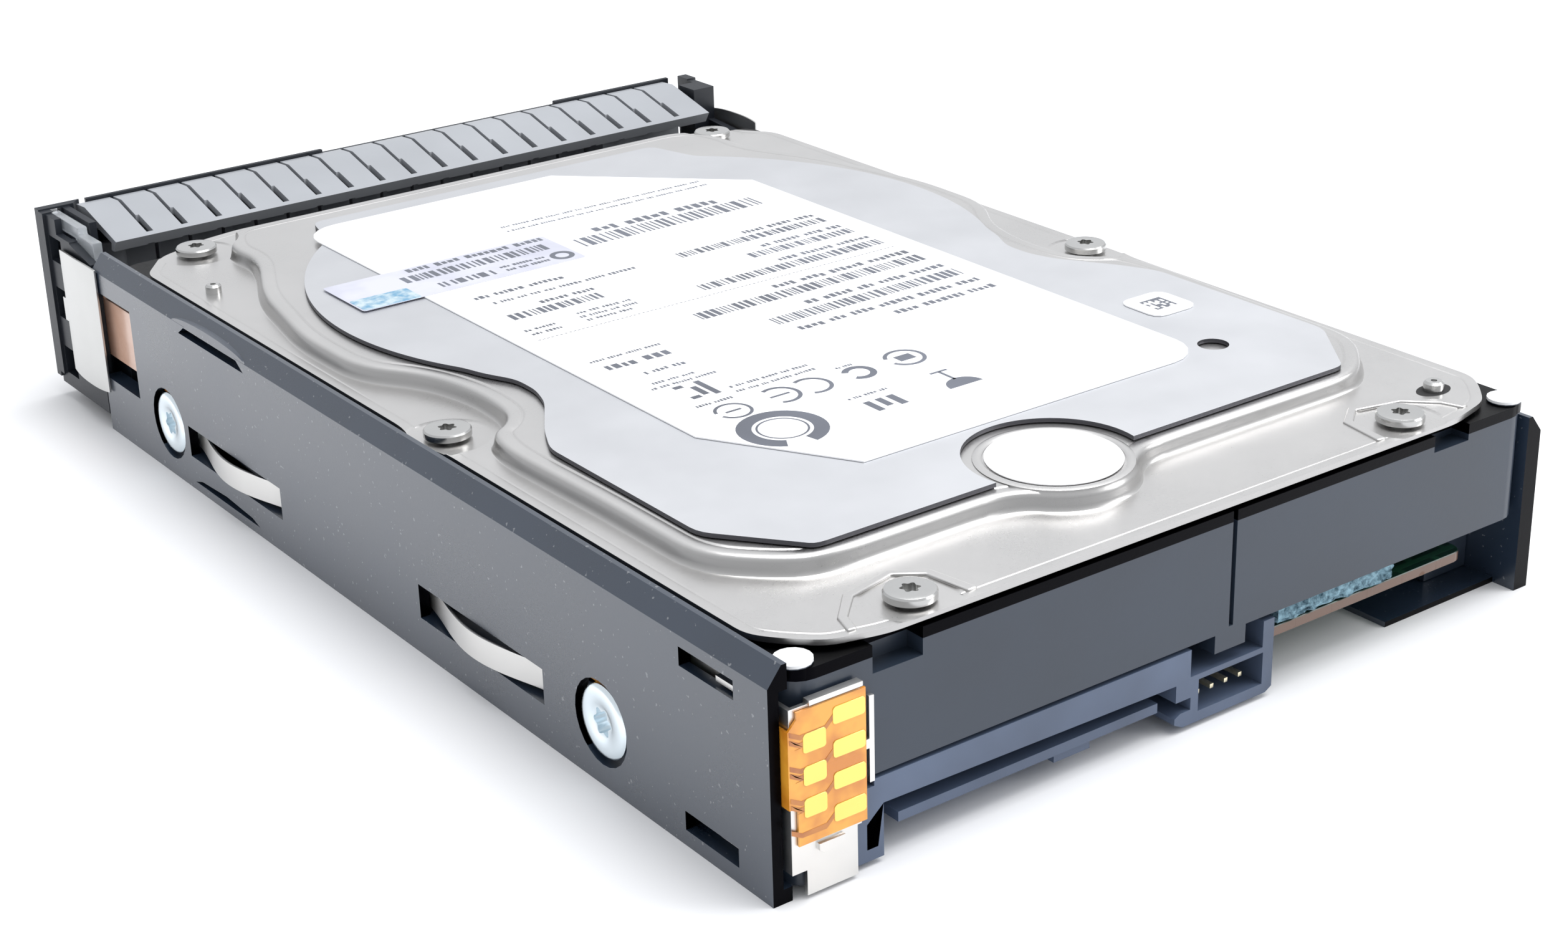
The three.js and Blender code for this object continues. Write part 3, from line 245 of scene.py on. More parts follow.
def rounded_box(x0, x1, y0, y1, radius, steps=5):
    return (
        arc((x1 - radius, y1 - radius), radius, 0, 90, steps)
        + arc((x0 + radius, y1 - radius), radius, 90, 180, steps)
        + arc((x0 + radius, y0 + radius), radius, 180, 270, steps)
        + arc((x1 - radius, y0 + radius), radius, 270, 360, steps)
    )


def eased(points, rounds):
    """Cuts the corners of a closed outline again and again, until it is smooth."""
    for _ in range(rounds):
        after = points[1:] + points[:1]
        points = [
            (a[0] + (b[0] - a[0]) * share, a[1] + (b[1] - a[1]) * share)
            for a, b in zip(points, after)
            for share in (0.25, 0.75)
        ]
    return points


def both_sides(half, middle=()):
    """A whole outline from its right half, which runs from the rear to the front."""
    return [(-x, y) for x, y in reversed(half)] + list(middle) + list(half)


def finished(node, width, segments=2, flatten=True):
    """A frame node's shape with its vertices merged and its hard edges rounded.

    With flatten, the triangles of each flat face become one polygon. One polygon may not hold
    a face with many holes: those of left_rail's outer face and base_casting's underside come
    out doubled, and the front plate is left as triangles.
    """
    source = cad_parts[node]
    piece = bpy.data.objects.new(f"{node}_finished", source.data.copy())
    bpy.context.scene.collection.objects.link(piece)
    piece.data.materials.clear()
    pick(piece)
    bpy.ops.mesh.customdata_custom_splitnormals_clear()
    with shaping(piece):
        bpy.ops.mesh.select_all(action="SELECT")
        bpy.ops.mesh.remove_doubles(threshold=2e-6)
        if flatten:
            bpy.ops.mesh.dissolve_limited(angle_limit=math.radians(0.5))
    if width:
        soften(piece, width, segments)
    return piece


# ---------------------------------------------------------------- shader tools

class Value:
    """A shader socket on which arithmetic adds Math nodes."""

    def __init__(self, finish, socket):
        self.finish = finish
        self.socket = socket

    def _math(self, operation, first, second):
        return self.finish.add("ShaderNodeMath", {"operation": operation}, {0: first, 1: second})

    def __add__(self, other):
        return self._math("ADD", self, other)

    def __radd__(self, other):
        return self._math("ADD", other, self)

    def __sub__(self, other):
        return self._math("SUBTRACT", self, other)

    def __rsub__(self, other):
        return self._math("SUBTRACT", other, self)

    def __mul__(self, other):
        return self._math("MULTIPLY", self, other)

    def __rmul__(self, other):
        return self._math("MULTIPLY", other, self)

    def __gt__(self, other):
        return self._math("GREATER_THAN", self, other)

    def __lt__(self, other):
        return self._math("LESS_THAN", self, other)


class Finish:
    """A surface finish: one Principled shader and the nodes that feed it."""

    def __init__(self, name, constants):
        self.material = bpy.data.materials.new(name)
        self.material.use_nodes = True
        self.nodes = self.material.node_tree.nodes
        self.links = self.material.node_tree.links
        self.shader = self.nodes["Principled BSDF"]
        for key, value in constants.items():
            self.shader.inputs[key].default_value = value

    def add(self, kind, settings, sockets, output=0):
        """Adds a node: its settings first, then the values or links of its sockets."""
        node = self.nodes.new(kind)
        for key, value in settings.items():
            if key == "stops":
                self._stops(node.color_ramp, value)
            else:
                setattr(node, key, value)
        for key, value in sockets.items():
            if isinstance(value, Value):
                self.links.new(value.socket, node.inputs[key])
            else:
                node.inputs[key].default_value = value
        return Value(self, node.outputs[output])

    @staticmethod
    def _stops(ramp, stops):
        while len(ramp.elements) < len(stops):
            ramp.elements.new(1.0)
        for element, (position, level) in zip(ramp.elements, stops):
            element.position = position
            element.color = (level, level, level, 1)

    def feed(self, socket, value):
        """Links a value to a socket of the shader."""
        self.links.new(value.socket, self.shader.inputs[socket])

    def colour(self):
        """The colour fed to the shader so far, to be blended further."""
        return Value(self, self.shader.inputs["Base Color"].links[0].from_socket)

    def place(self, stretch=(1, 1, 1)):
        """Object coordinates, stretched along each axis."""
        coordinates = self.add("ShaderNodeTexCoord", {}, {}, "Object")
        return self.add("ShaderNodeMapping", {}, {"Vector": coordinates, "Scale": stretch})

    def axes(self):
        """Object coordinates as three values, in metres."""
        place = self.add("ShaderNodeTexCoord", {}, {}, "Object")
        split = self.add("ShaderNodeSeparateXYZ", {}, {"Vector": place})
        return [Value(self, output) for output in split.socket.node.outputs]

    def facing(self, axis):
        """How far the surface faces along an axis, from -1 to 1."""
        geometry = self.add("ShaderNodeNewGeometry", {}, {}, "Normal")
        split = self.add("ShaderNodeSeparateXYZ", {}, {"Vector": geometry})
        return Value(self, split.socket.node.outputs[axis])

    def noise(self, size, detail=3.0, rough=0.55, stretch=(1, 1, 1)):
        """Soft noise whose features are about this size in mm."""
        return self.add(
            "ShaderNodeTexNoise", {},
            {"Vector": self.place(stretch), "Scale": 1 / (size * MM), "Detail": detail,
             "Roughness": rough},
        )

    def ramp(self, value, *stops):
        return self.add("ShaderNodeValToRGB", {"stops": stops}, {"Fac": value})

    def blend(self, factor, first, second):
        """A colour between two, by a factor."""
        return self.add(
            "ShaderNodeMix", {"data_type": "RGBA"}, {0: factor, 6: first, 7: second}, 2
        )

    def bump(self, height, depth, strength=1.0):
        """Raises the surface by a height value, depth mm at the most."""
        normal = self.add(
            "ShaderNodeBump", {},
            {"Height": height, "Distance": depth * MM, "Strength": strength}, "Normal",
        )
        self.feed("Normal", normal)

    def window(self, value, low, high):
        """1 between two heights in metres."""
        return (value > low) * (value < high)


def rgb(red, green, blue):
    return (red, green, blue, 1.0)


def tone(colour, factor):
    return tuple(min(1.0, c * factor) for c in colour[:3]) + (1.0,)


def metal(name, colour, gloss, grain=0.6, streak=(1, 1, 1), wear=0.12, depth=0.004, painted_slope_shade=0.0):
    """Bare or plated metal with fine grain and faint smudges, and painted shade on its slopes."""
    finish = Finish(name, {"Metallic": 1.0})
    fine = finish.noise(grain, 4.0, 0.6, streak)
    smudge = finish.noise(14.0, 3.0, 0.6)
    shade = finish.ramp(smudge, (0.3, 0.0), (0.75, 1.0))
    plate = finish.blend(shade, tone(colour, 1 - wear), colour)
    if painted_slope_shade:
        # Painted shade: where the surface tilts away from upright its colour darkens, standing in
        # for a dark reflection.
        painted_slope_mask = finish.ramp(finish.facing("Z"), (0.35, 1.0), (0.985, 0.0))
        plate = finish.blend(painted_slope_mask * painted_slope_shade, plate, tone(colour, 0.12))
    finish.feed("Base Color", plate)
    finish.feed("Roughness", gloss + (fine - 0.5) * 0.12 + (smudge - 0.5) * 0.1)
    finish.bump(fine, depth)
    return finish


def coating(name, colour, gloss, peel=0.5, depth=0.006, wear=0.25, coat=0.0, dust=0.0):
    """Paint or moulded plastic: orange peel, a slow change of shade and a little dust."""
    finish = Finish(name, {"Coat Weight": coat, "Coat Roughness": 0.25})
    peel_noise = finish.noise(peel, 2.0, 0.5)
    patch = finish.noise(18.0, 3.0, 0.5)
    shade = finish.ramp(patch, (0.3, 0.0), (0.7, 1.0))
    paint = finish.blend(shade, tone(colour, 1 - wear), tone(colour, 1 + wear))
    if dust:
        specks = finish.ramp(finish.noise(0.55, 1.0, 0.4), (0.735, 0.0), (0.76, 1.0))
        paint = finish.blend(specks * dust, paint, rgb(0.55, 0.56, 0.57))
    finish.feed("Base Color", paint)
    finish.feed("Roughness", gloss + (patch - 0.5) * 0.18 + (peel_noise - 0.5) * 0.08)
    finish.bump(peel_noise, depth)
    return finish


# ---------------------------------------------------------------- finishes

# Near-black for painted shade: the shadow gap under the cover and the rail ends that face away from
# the light.
PAINTED_SHADE_BLACK = rgb(0.002, 0.002, 0.003)

# Where a finish changes on a piece, in mm from the drive's datum.
# Painted shadow: the heights of the gap under the cover's flange, coloured black.
SHADOW_GAP_BAND = (21.2, 22.5)  # heights just under the cover
PAD_DEPTH = 0.3  # the machined corner pads, down from the casting's top
PIN_HEIGHTS = (2.15, 2.75)
PIN_SPAN = (-8.5, -1.6)
PIN_TIPS = -1.15
COPPER_WINDOW = 12  # the bare copper face, back from the drive's front


def machined_casting():
    """Black e-coat with painted shadow: a black band just under the cover stands for the shadow gap
    there. The corner pads are left as machined.
    """
    finish = coating(
        "casting_black", rgb(0.02, 0.03, 0.048), 0.36, peel=0.45, depth=0.004, wear=0.15,
        coat=0.1
    )
    paint = finish.colour()
    height = finish.axes()[2]
    pads = height > casting_high.z - PAD_DEPTH * MM
    # Painted shadow: this band is made black, with no coat or sheen.
    painted_shadow = finish.window(height, *(DATUM.z + level * MM for level in SHADOW_GAP_BAND))
    paint = finish.blend(painted_shadow, paint, PAINTED_SHADE_BLACK)
    finish.feed("Base Color", finish.blend(pads, paint, rgb(0.78, 0.79, 0.8)))
    finish.feed("Coat Weight", 0.1 - painted_shadow * 0.1)
    finish.feed("Metallic", painted_shadow * 1.0)
    return finish


def slate_rail():
    """Slate paint on the rails, with painted shade: the ends that face +Y are made black."""
    finish = coating(
        "rail_paint", rgb(0.018, 0.03, 0.052), 0.3, peel=0.35, depth=0.003, wear=0.12, coat=0.9,
        dust=0.25
    )
    paint = finish.colour()
    # Painted shade: faces turned towards +Y go black, with no coat or sheen, as if unlit.
    end = finish.facing("Y") > 0.6
    finish.feed("Base Color", finish.blend(end, paint, PAINTED_SHADE_BLACK))
    finish.feed("Coat Weight", 0.9 - end * 0.9)
    finish.feed("Metallic", end * 1.0)
    return finish


def side_shaded_steel():
    """Fine satin steel, with painted shade on its sides: faces that do not face upward are made
    dark.
    """
    finish = metal(
        "damper_steel", rgb(0.71, 0.72, 0.745), 0.5, grain=0.3, streak=(1, 6, 1), wear=0.03,
        depth=0.002
    )
    sheet = finish.colour()
    # Painted shade: side faces darken, standing for the dark line along the plate's edge.
    edge = finish.facing("Z") < 0.6
    finish.feed("Base Color", finish.blend(edge, sheet, rgb(0.09, 0.09, 0.1)))
    return finish


def pinned_moulding():
    """Blue-black glass-filled moulding with flow marks, and tinned pins in its pin box."""
    finish = coating(
        "connector_plastic", rgb(0.072, 0.098, 0.155), 0.42, peel=1.1, depth=0.008, wear=0.3
    )
    moulding = finish.colour()
    across, along, height = finish.axes()
    pins = finish.window(height, *(DATUM.z + level * MM for level in PIN_HEIGHTS))
    pins = pins * finish.window(across, *(edge * MM for edge in PIN_SPAN))
    pins = pins * (along < DATUM.y + PIN_TIPS * MM)
    finish.feed("Base Color", finish.blend(pins, moulding, rgb(0.9, 0.82, 0.6)))
    finish.feed("Metallic", pins * 1.0)
    return finish


def circuit_green():
    """Solder mask over copper tracks, with bare tinned dots."""
    finish = Finish("board_green", {"Roughness": 0.35, "Coat Weight": 0.4, "Coat Roughness": 0.2})
    tracks = finish.add(
        "ShaderNodeTexBrick", {"offset": 0.5},
        {"Vector": finish.place(), "Scale": 90.0, "Mortar Size": 0.04, "Bias": 0.0}, "Fac",
    )
    dots = finish.add(
        "ShaderNodeTexVoronoi", {}, {"Vector": finish.place(), "Scale": 240.0}, "Distance"
    )
    mask = finish.blend(tracks, rgb(0.006, 0.03, 0.018), rgb(0.014, 0.07, 0.036))
    vias = finish.ramp(dots, (0.1, 1.0), (0.14, 0.0))
    face = finish.blend(vias, mask, rgb(0.7, 0.66, 0.5))
    edge = finish.window(finish.facing("Z"), -0.5, 0.5)
    finish.feed("Base Color", finish.blend(edge, face, rgb(0.12, 0.06, 0.035)))
    finish.feed("Metallic", vias * 0.9)
    finish.bump(tracks, 0.02)
    return finish


def film(name, colour, second, size, metallic=0.0, gloss=0.3):
    """Thin glossy film whose shade drifts between two colours."""
    finish = Finish(name, {"Metallic": metallic, "Coat Weight": 0.8, "Coat Roughness": 0.12})
    drift = finish.noise(size, 3.0, 0.6)
    shade = finish.ramp(drift, (0.38, 0.0), (0.62, 1.0))
    finish.feed("Base Color", finish.blend(shade, colour, second))
    finish.feed("Roughness", gloss + (drift - 0.5) * 0.15)
    finish.bump(drift, 0.01)
    return finish


def signal_film():
    """Amber film, with its bare copper face showing in the rail's front window."""
    finish = film("polyimide", rgb(0.6, 0.2, 0.012), rgb(0.82, 0.36, 0.03), size=5.0)
    amber = finish.colour()
    front = finish.axes()[1] < DATUM.y + (FRONT + COPPER_WINDOW) * MM
    creased = finish.blend(finish.noise(2.5, 4.0, 0.7), rgb(0.86, 0.6, 0.48), rgb(0.62, 0.34, 0.22))
    finish.feed("Base Color", finish.blend(front, amber, creased))
    return finish


def crumbly_foam():
    finish = Finish("foam", {"Metallic": 0.0})
    cells = finish.add(
        "ShaderNodeTexVoronoi", {}, {"Vector": finish.place(), "Scale": 1500.0}, "Distance"
    )
    patch = finish.ramp(finish.noise(0.9, 4.0, 0.7), (0.35, 0.0), (0.65, 1.0))
    finish.feed("Base Color", finish.blend(patch, rgb(0.015, 0.05, 0.075), rgb(0.27, 0.44, 0.53)))
    finish.feed("Roughness", 0.8 + cells * 0.2)
    finish.bump(cells, 0.2)
    return finish


def clear_moulding():
    finish = Finish(
        "clear_plastic",
        {"Transmission Weight": 0.75, "IOR": 1.49, "Base Color": rgb(0.86, 0.9, 0.94)},
    )
    haze = finish.noise(3.0)
    finish.feed("Roughness", 0.12 + haze * 0.2)
    finish.bump(haze, 0.01)
    return finish


FINISHES = {
    "black_casting": machined_casting(),
    # In cover_nickel and zinc, the last argument sets how much painted shade darkens their slopes.
    "cover_nickel": metal(
        "cover_nickel", rgb(0.84, 0.83, 0.82), 0.3, grain=0.3, wear=0.05, depth=0.002,
        painted_slope_shade=0.52
    ),
    "damper_steel": side_shaded_steel(),
    "zinc": metal("zinc", rgb(0.8, 0.8, 0.79), 0.22, grain=0.5, wear=0.1, depth=0.004, painted_slope_shade=0.45),
    "spring_steel": metal(
        "spring_steel", rgb(0.76, 0.75, 0.73), 0.34, grain=0.5, streak=(1, 1, 5), wear=0.12
    ),
    "white_label": coating(
        "white_label", rgb(0.93, 0.935, 0.95), 0.5, peel=0.25, depth=0.002, wear=0.01
    ),
    "rail_paint": slate_rail(),
    "black_plastic": coating(
        "black_plastic", rgb(0.008, 0.011, 0.017), 0.45, peel=0.3, depth=0.006, wear=0.2
    ),
    "connector_plastic": pinned_moulding(),
    "rib_grey": coating(
        "rib_grey", rgb(0.33, 0.345, 0.37), 0.34, peel=0.4, depth=0.004, wear=0.06, coat=0.3
    ),
    "disc_mirror": metal(
        "disc_mirror", rgb(0.82, 0.83, 0.85), 0.06, grain=2.0, wear=0.03, depth=0.0005
    ),
    "aluminium": metal(
        "aluminium", rgb(0.68, 0.69, 0.7), 0.32, grain=0.5, streak=(1, 1, 8), wear=0.12
    ),
    "copper": metal(
        "copper", rgb(0.75, 0.36, 0.18), 0.32, grain=0.25, streak=(1, 1, 9), wear=0.3,
        depth=0.05
    ),
    "polyimide": signal_film(),
    "gold": metal("gold", rgb(1.0, 0.72, 0.2), 0.25, grain=0.6, wear=0.12, depth=0.006),
    "board_green": circuit_green(),
    "foam": crumbly_foam(),
    "gasket_rubber": coating(
        "gasket_rubber", rgb(0.015, 0.015, 0.016), 0.75, peel=0.4, depth=0.02, wear=0.3
    ),
    "clear_plastic": clear_moulding(),
    "filter_white": coating(
        "filter_white", rgb(0.8, 0.8, 0.78), 0.9, peel=0.12, depth=0.05, wear=0.08
    ),
    "magnet_nickel": metal("magnet_nickel", rgb(0.62, 0.62, 0.63), 0.2, grain=0.8, wear=0.15),
    "ramp_plastic": coating(
        "ramp_plastic", rgb(0.78, 0.78, 0.75), 0.4, peel=0.3, depth=0.004, wear=0.05
    ),
}
INK = coating("label_ink", rgb(0.12, 0.13, 0.16), 0.45, peel=0.3, depth=0.001, wear=0.25)
TAMPER_FILM = film(
    "tamper_film", rgb(0.56, 0.57, 0.68), rgb(0.68, 0.69, 0.78), size=9.0, metallic=0.2
)
HOLOGRAM = film(
    "hologram_film", rgb(0.12, 0.42, 0.68), rgb(0.72, 0.88, 0.95), size=1.6, metallic=0.55,
    gloss=0.2
)
BLUE_ZINC = metal("blue_zinc", rgb(0.86, 0.95, 1.0), 0.24, grain=0.5, wear=0.06)
CLIP_STEEL = metal(
    "clip_steel", rgb(0.66, 0.66, 0.645), 0.36, grain=0.5, streak=(1, 1, 5), wear=0.1
)
TRACE = film("trace_copper", rgb(0.36, 0.1, 0.006), rgb(0.5, 0.17, 0.012), size=3.0)


def dress(piece, slot, body="carrier", nodes=(), finish=None, smooth=34):
    """Gives a piece its finish, from its slot unless a finish is given, and the body it rides on,
    and hides the nodes it stands for.
    """
    piece.data.materials.clear()
    piece.data.materials.append((finish or FINISHES[slot]).material)
    pick(piece)
    bpy.ops.object.shade_smooth_by_angle(angle=math.radians(smooth))
    apply(piece, "WEIGHTED_NORMAL", keep_sharp=True)
    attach(piece, body)
    if nodes:
        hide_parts(*nodes)
    return piece


# ---------------------------------------------------------------- cover, damper and seal

FLANGE_X = HALF_W - 0.8
EAR_Y = SPINDLE.y + 30
COVER_SCREWS = [f"cover_screw_{i}" for i in range(1, 7)]

flange_half = [
    (39, -0.3), (45, -1.8), (48.2, -5), (FLANGE_X, -7.6), (FLANGE_X, EAR_Y + 5),
    (HALF_W - 0.3, EAR_Y + 2.5), (HALF_W - 0.3, EAR_Y - 2.5), (FLANGE_X, EAR_Y - 5),
    (FLANGE_X, FRONT + 8), (45.5, FRONT + 2), (38.5, FRONT - 0.6), (33, cover_low.y),
]
root_half = [
    (36.4, -12.5), (40.6, -14.4), (46.5, -20.8), (46.6, -38), (47.2, -55), (46, -60.4),
    (43.1, -62.2), (41.4, -65), (41.1, -72.3), (42.8, -79.9), (47.8, -87.3), (48, -100.7),
    (44.8, -117.7), (39.2, -130.4), (39.8, -137.1), (36.6, -144.2),
]
damper_half = [
    (37.5, -15.9), (43.7, -24), (43.7, -51), (41.6, -55.5), (37.2, -62.6), (36.1, -66.3),
    (36.1, -70.4), (38, -74.5),
]


def filleted(points, reach, steps=5):
    """Rounds each corner of a closed outline with a curve that starts a reach before it."""
    outline = []
    for i, corner in enumerate(points):
        before, after = points[i - 1], points[(i + 1) % len(points)]
        ends = []
        for other in (before, after):
            run = math.dist(corner, other)
            share = min(reach / run, 0.45)
            ends.append([c + (o - c) * share for c, o in zip(corner, other)])
        for step in range(steps + 1):
            t = step / steps
            outline.append(tuple(
                (1 - t) ** 2 * a + 2 * t * (1 - t) * c + t ** 2 * b
                for a, c, b in zip(ends[0], corner, ends[1])
            ))
    return outline


def raised_middle():
    """The pressed plateau: its side rises from the flange in an S."""
    bump = arc(SEAL, 9.4, 146, 34, 8)
    rear = [(-9, -12.6), (-5.4, -12.3)] + bump + [(14.4, -12.3), (18, -12.6)]
    outline = filleted(both_sides(root_half, rear), 4.5)
    piece = slab("plateau", outline, FLANGE_LOW + 0.1, FLANGE_TOP)
    steps = [(0.14, 0.03), (0.16, 0.2), (0.14, 0.45), (0.12, 0.55), (0.14, 0.42), (0.2, 0.22),
             (0.26, 0.1), (0.3, 0.02)]
    rise = sum(step[1] for step in steps)
    groove = [(0.75, 0), (0.14, -0.09), (0.14, -0.03), (0.14, 0.08), (0.2, 0.04)]
    with shaping(piece):
        choose(piece, "faces", lambda face: face.normal.z > 0.9)
        for width, height in steps:
            bpy.ops.mesh.inset(
                thickness=width * MM, depth=height / rise * (PLATEAU_TOP - FLANGE_TOP) * MM
            )
        for width, height in groove:
            bpy.ops.mesh.inset(thickness=width * MM, depth=height * MM)
    return piece


def top_cover():
    flange = slab("top_cover_pressed", filleted(both_sides(flange_half), 1.6, 4), FLANGE_LOW,
                  FLANGE_TOP)
    with shaping(flange):
        choose(flange, "faces", lambda face: face.normal.z > 0.9)
        bpy.ops.mesh.inset(thickness=0.18 * MM, depth=0.0)
        bpy.ops.mesh.inset(thickness=0.9 * MM, depth=0.0)
        bpy.ops.mesh.inset(thickness=0.2 * MM, depth=-0.1 * MM)
        bpy.ops.mesh.inset(thickness=0.2 * MM, depth=0.1 * MM)
    cover = carve(flange, raised_middle(), operation="UNION")
    hollow = filleted([(x * 0.955, y * 0.975 - 1.6) for x, y in both_sides(root_half)], 4.5)
    cover = carve(cover, slab("hollow", hollow, FLANGE_LOW - 1, PLATEAU_TOP - 0.6))
    for node in COVER_SCREWS:
        middle = centre_of(node)
        pad = turned("pad", [(0, 3), (5.6, 3), (5.6, 0.02), (5.05, 0.0), (4.7, -0.16), (0, -0.16)])
        cover = carve(cover, place(pad, to=(middle.x, middle.y, FLANGE_TOP)),
                      rod("hole", 1.5, middle, FLANGE_LOW - 1, FLANGE_TOP + 1, 20))
    lip = turned("lip", [(SEAL_R + 0.2, -0.5), (SEAL_R + 0.2, 0.08), (SEAL_R + 0.4, 0.2),
                         (SEAL_R + 0.8, 0.22), (SEAL_R + 1.2, 0.1), (SEAL_R + 1.4, -0.5)], 64)
    cover = carve(cover, place(lip, to=(*SEAL, PLATEAU_TOP)), operation="UNION")
    return dress(cover, "cover_nickel", nodes=["top_cover"])


def rear_lugs():
    """The small folded steps in the flange beside the rear screws."""
    for side, name in ((-1, "left"), (1, "right")):
        points = [(27.6, -1.4), (28.6, -7.2), (32, -9.6), (38.4, -8.2), (41.8, -4.6), (42.6, -1.9),
                  (41.6, -1.8), (40.8, -4.2), (37.8, -7.2), (32.2, -8.6), (29.6, -6.6), (28.8, -1.3)]
        step = slab(f"flange_step_{name}", [(side * x, y) for x, y in points], FLANGE_TOP - 0.2,
                    FLANGE_TOP + 0.22)
        soften(step, 0.2, 3)
        dress(step, "cover_nickel")


def damper_plate():
    rim = arc(SPINDLE, 43.5, 27, -48, 24)
    half = damper_half + rim + [(28.5, -131.5), (27, -137.5)]
    outline = [(-36.5, -14.6)] + [(36.5, -14.6)] + half + [(-x, y) for x, y in reversed(half)]
    plate = slab("damper_plate_finished", filleted(outline, 1.4, 3), damper_low.z, DAMPER_TOP)
    plate = carve(plate, rod("notch", 9.6, SEAL, damper_low.z - 1, DAMPER_TOP + 1, 64),
                  rod("hole", 1.8, (-30.5, -28.5), damper_low.z - 1, DAMPER_TOP + 1, 32))
    soften(plate, 0.07, 2)
    dress(plate, "damper_steel", nodes=["damper_plate"])


def round_seal():
    disc = turned("round_seal_finished", [
        (0, 0), (SEAL_R - 0.05, 0), (SEAL_R, 0.05), (SEAL_R, 0.14), (SEAL_R - 0.1, 0.2), (0, 0.2)
    ], 72)
    dress(place(disc, to=(*SEAL, seal_low.z)), "white_label", nodes=["round_seal"])
    blind = eased([(-36.9, -140.2), (-36.4, -143.4), (-32.8, -145), (-29.6, -143.4), (-29.6, -139.6),
                   (-33.4, -138.8)], 3)
    patch = slab("breather_patch", blind, FLANGE_TOP + 0.01, FLANGE_TOP + 0.16)
    dress(patch, "white_label")


def dowels():
    """Two small locating pins that stand through the flange, the rear one in a slot."""
    rear = (-43.4, -7.4)
    for name, (x, y), pin_r in (("front", (46.5, -126.8), 1.0), ("rear", rear, 1.15)):
        pin = turned(f"dowel_{name}", [
            (0, -0.3), (pin_r, -0.3), (pin_r, 0.9), (pin_r - 0.25, 1.15), (0.35, 1.15), (0.3, 0.8),
            (0, 0.8)
        ], 24)
        dress(place(pin, to=(x, y, FLANGE_TOP)), "zinc")
    octagon = [(-2.3, -0.6), (-0.9, -1.5), (0.9, -1.5), (2.3, -0.6), (2.3, 0.6), (0.9, 1.5),
               (-0.9, 1.5), (-2.3, 0.6)]
    outline = eased([(rear[0] + x, rear[1] + y) for x, y in octagon], 2)
    dress(slab("dowel_slot_rear", outline, FLANGE_TOP - 0.2, FLANGE_TOP + 0.03), "gasket_rubber")


def star_socket(size, depth, top):
    """A six-lobed driver socket, to be cut down from the top of a screw made at the origin."""
    ring = [
        (size * (0.86 + 0.14 * math.cos(6 * a)) * math.cos(a),
         size * (0.86 + 0.14 * math.cos(6 * a)) * math.sin(a))
        for a in (math.tau * i / 48 for i in range(48))
    ]
    return prism("socket", [Vector((x, y, top - depth)) * MM for x, y in ring], (0, 0, depth + 1))


def cover_screws():
    head_t = 1.0
    profile = [(0, -4.4), (1.1, -4.4), (1.2, -4.2), (1.2, 0), (2.5, 0), (2.65, 0.12), (2.65, 0.75),
               (2.5, 0.93), (2.25, head_t), (0, head_t)]
    screw = carve(turned("screw", profile, 48), star_socket(1.05, 0.7, head_t))
    for number, node in enumerate(COVER_SCREWS):
        middle = centre_of(node)
        copy = place(twin(screw, f"{node}_turned"), 17 * number, 0,
                     (middle.x, middle.y, extent(node)[1].z - head_t))
        dress(copy, "zinc", nodes=[node])
    bpy.data.objects.remove(screw)


# ---------------------------------------------------------------- label and its print

random.seed(7)


def ink_bars(x0, x1, y, height, narrow=0.22):
    """A row of upright bars of uneven width, as boxes (x0, x1, y0, y1)."""
    marks = []
    x = x0
    while x < x1 - 0.6:
        width = random.choice((narrow, narrow, 2 * narrow, 3 * narrow))
        marks.append((x, min(x + width, x1), y, y + height))
        x += width + random.choice((narrow, 1.4 * narrow, 2 * narrow))
    return marks


def ink_words(x0, x1, y, height):
    """A line of small unreadable blocks in groups, standing for a line of words."""
    marks = []
    x = x0
    while x < x1 - 0.3:
        for _ in range(random.randint(3, 7)):
            width = height * random.uniform(0.34, 0.6)
            if x + width > x1:
                break
            foot = random.choice((0, 0, 0.18)) * height
            marks.append((x, x + width, y + foot, y + height * random.uniform(0.82, 1.0)))
            x += width + 0.2 * height
        x += 0.6 * height
    return marks


def label_marks():
    """Rows down the label: left column, right column, and the wide rows."""
    left, right = label_low.x + 3.4, label_high.x - 2.6
    marks = []
    for y, end, height in ((-60.2, -9.4, 1.3), (-63.2, 3.4, 1.3), (-69.9, -2.9, 1.3),
                           (-76.9, -2.4, 1.3), (-84.7, -9.6, 1.1), (-90.6, -12, 1.1),
                           (-96.5, -12.5, 1.1)):
        marks += ink_words(left, end, y, height)
    for y, start, end, height in ((-67.5, left, 4.2, 2.4), (-74.7, left, 10, 2.4),
                                  (-82.8, left, 4, 2.1), (-88.7, left, -8.4, 1.9),
                                  (-94.6, left, -1.2, 1.9), (-88.7, 13.8, 27.2, 2.1)):
        marks += ink_bars(start, end, y, height)
    for y, start, end, height in ((-62.6, 19, 24.6, 0.9), (-66.9, 18.4, 27, 1.6),
                                  (-69.2, 17.8, 27.4, 0.6), (-81.4, 13.6, 20, 0.7),
                                  (-82.8, 12, 20, 0.7), (-84.2, 12, 20, 0.7), (-81.4, 23.4, 28, 0.7),
                                  (-82.9, 23.4, 28, 0.7), (-90.6, 13.2, 21, 1.0),
                                  (-93.8, 5, 25.6, 0.8), (-96.8, 13.8, 27, 1.1),
                                  (-51.4, 9, 19.8, 0.6), (-52.9, 9, 19.8, 0.6),
                                  (-57.8, 18, 26.6, 0.6), (-59.2, 20, 25.6, 0.6),
                                  (-41.6, 6.6, 12, 0.6), (-49.8, 5, 7.4, 0.5), (-50.4, 21, 26, 0.6),
                                  (-116.8, -22, 10, 0.6), (-118.7, -22, 10, 0.6)):
        marks += ink_words(start, end, y, height)
    marks += ink_bars(-22.8, 5.8, -107.9, 3.5, 0.3)
    marks += ink_words(-18.4, 1.4, -110.4, 1.9)
    dashes = (left + 0.6 * i for i in range(88))
    marks += [(x, x + 0.35, -79.0, -78.85) for x in dashes if x < right]
    return marks


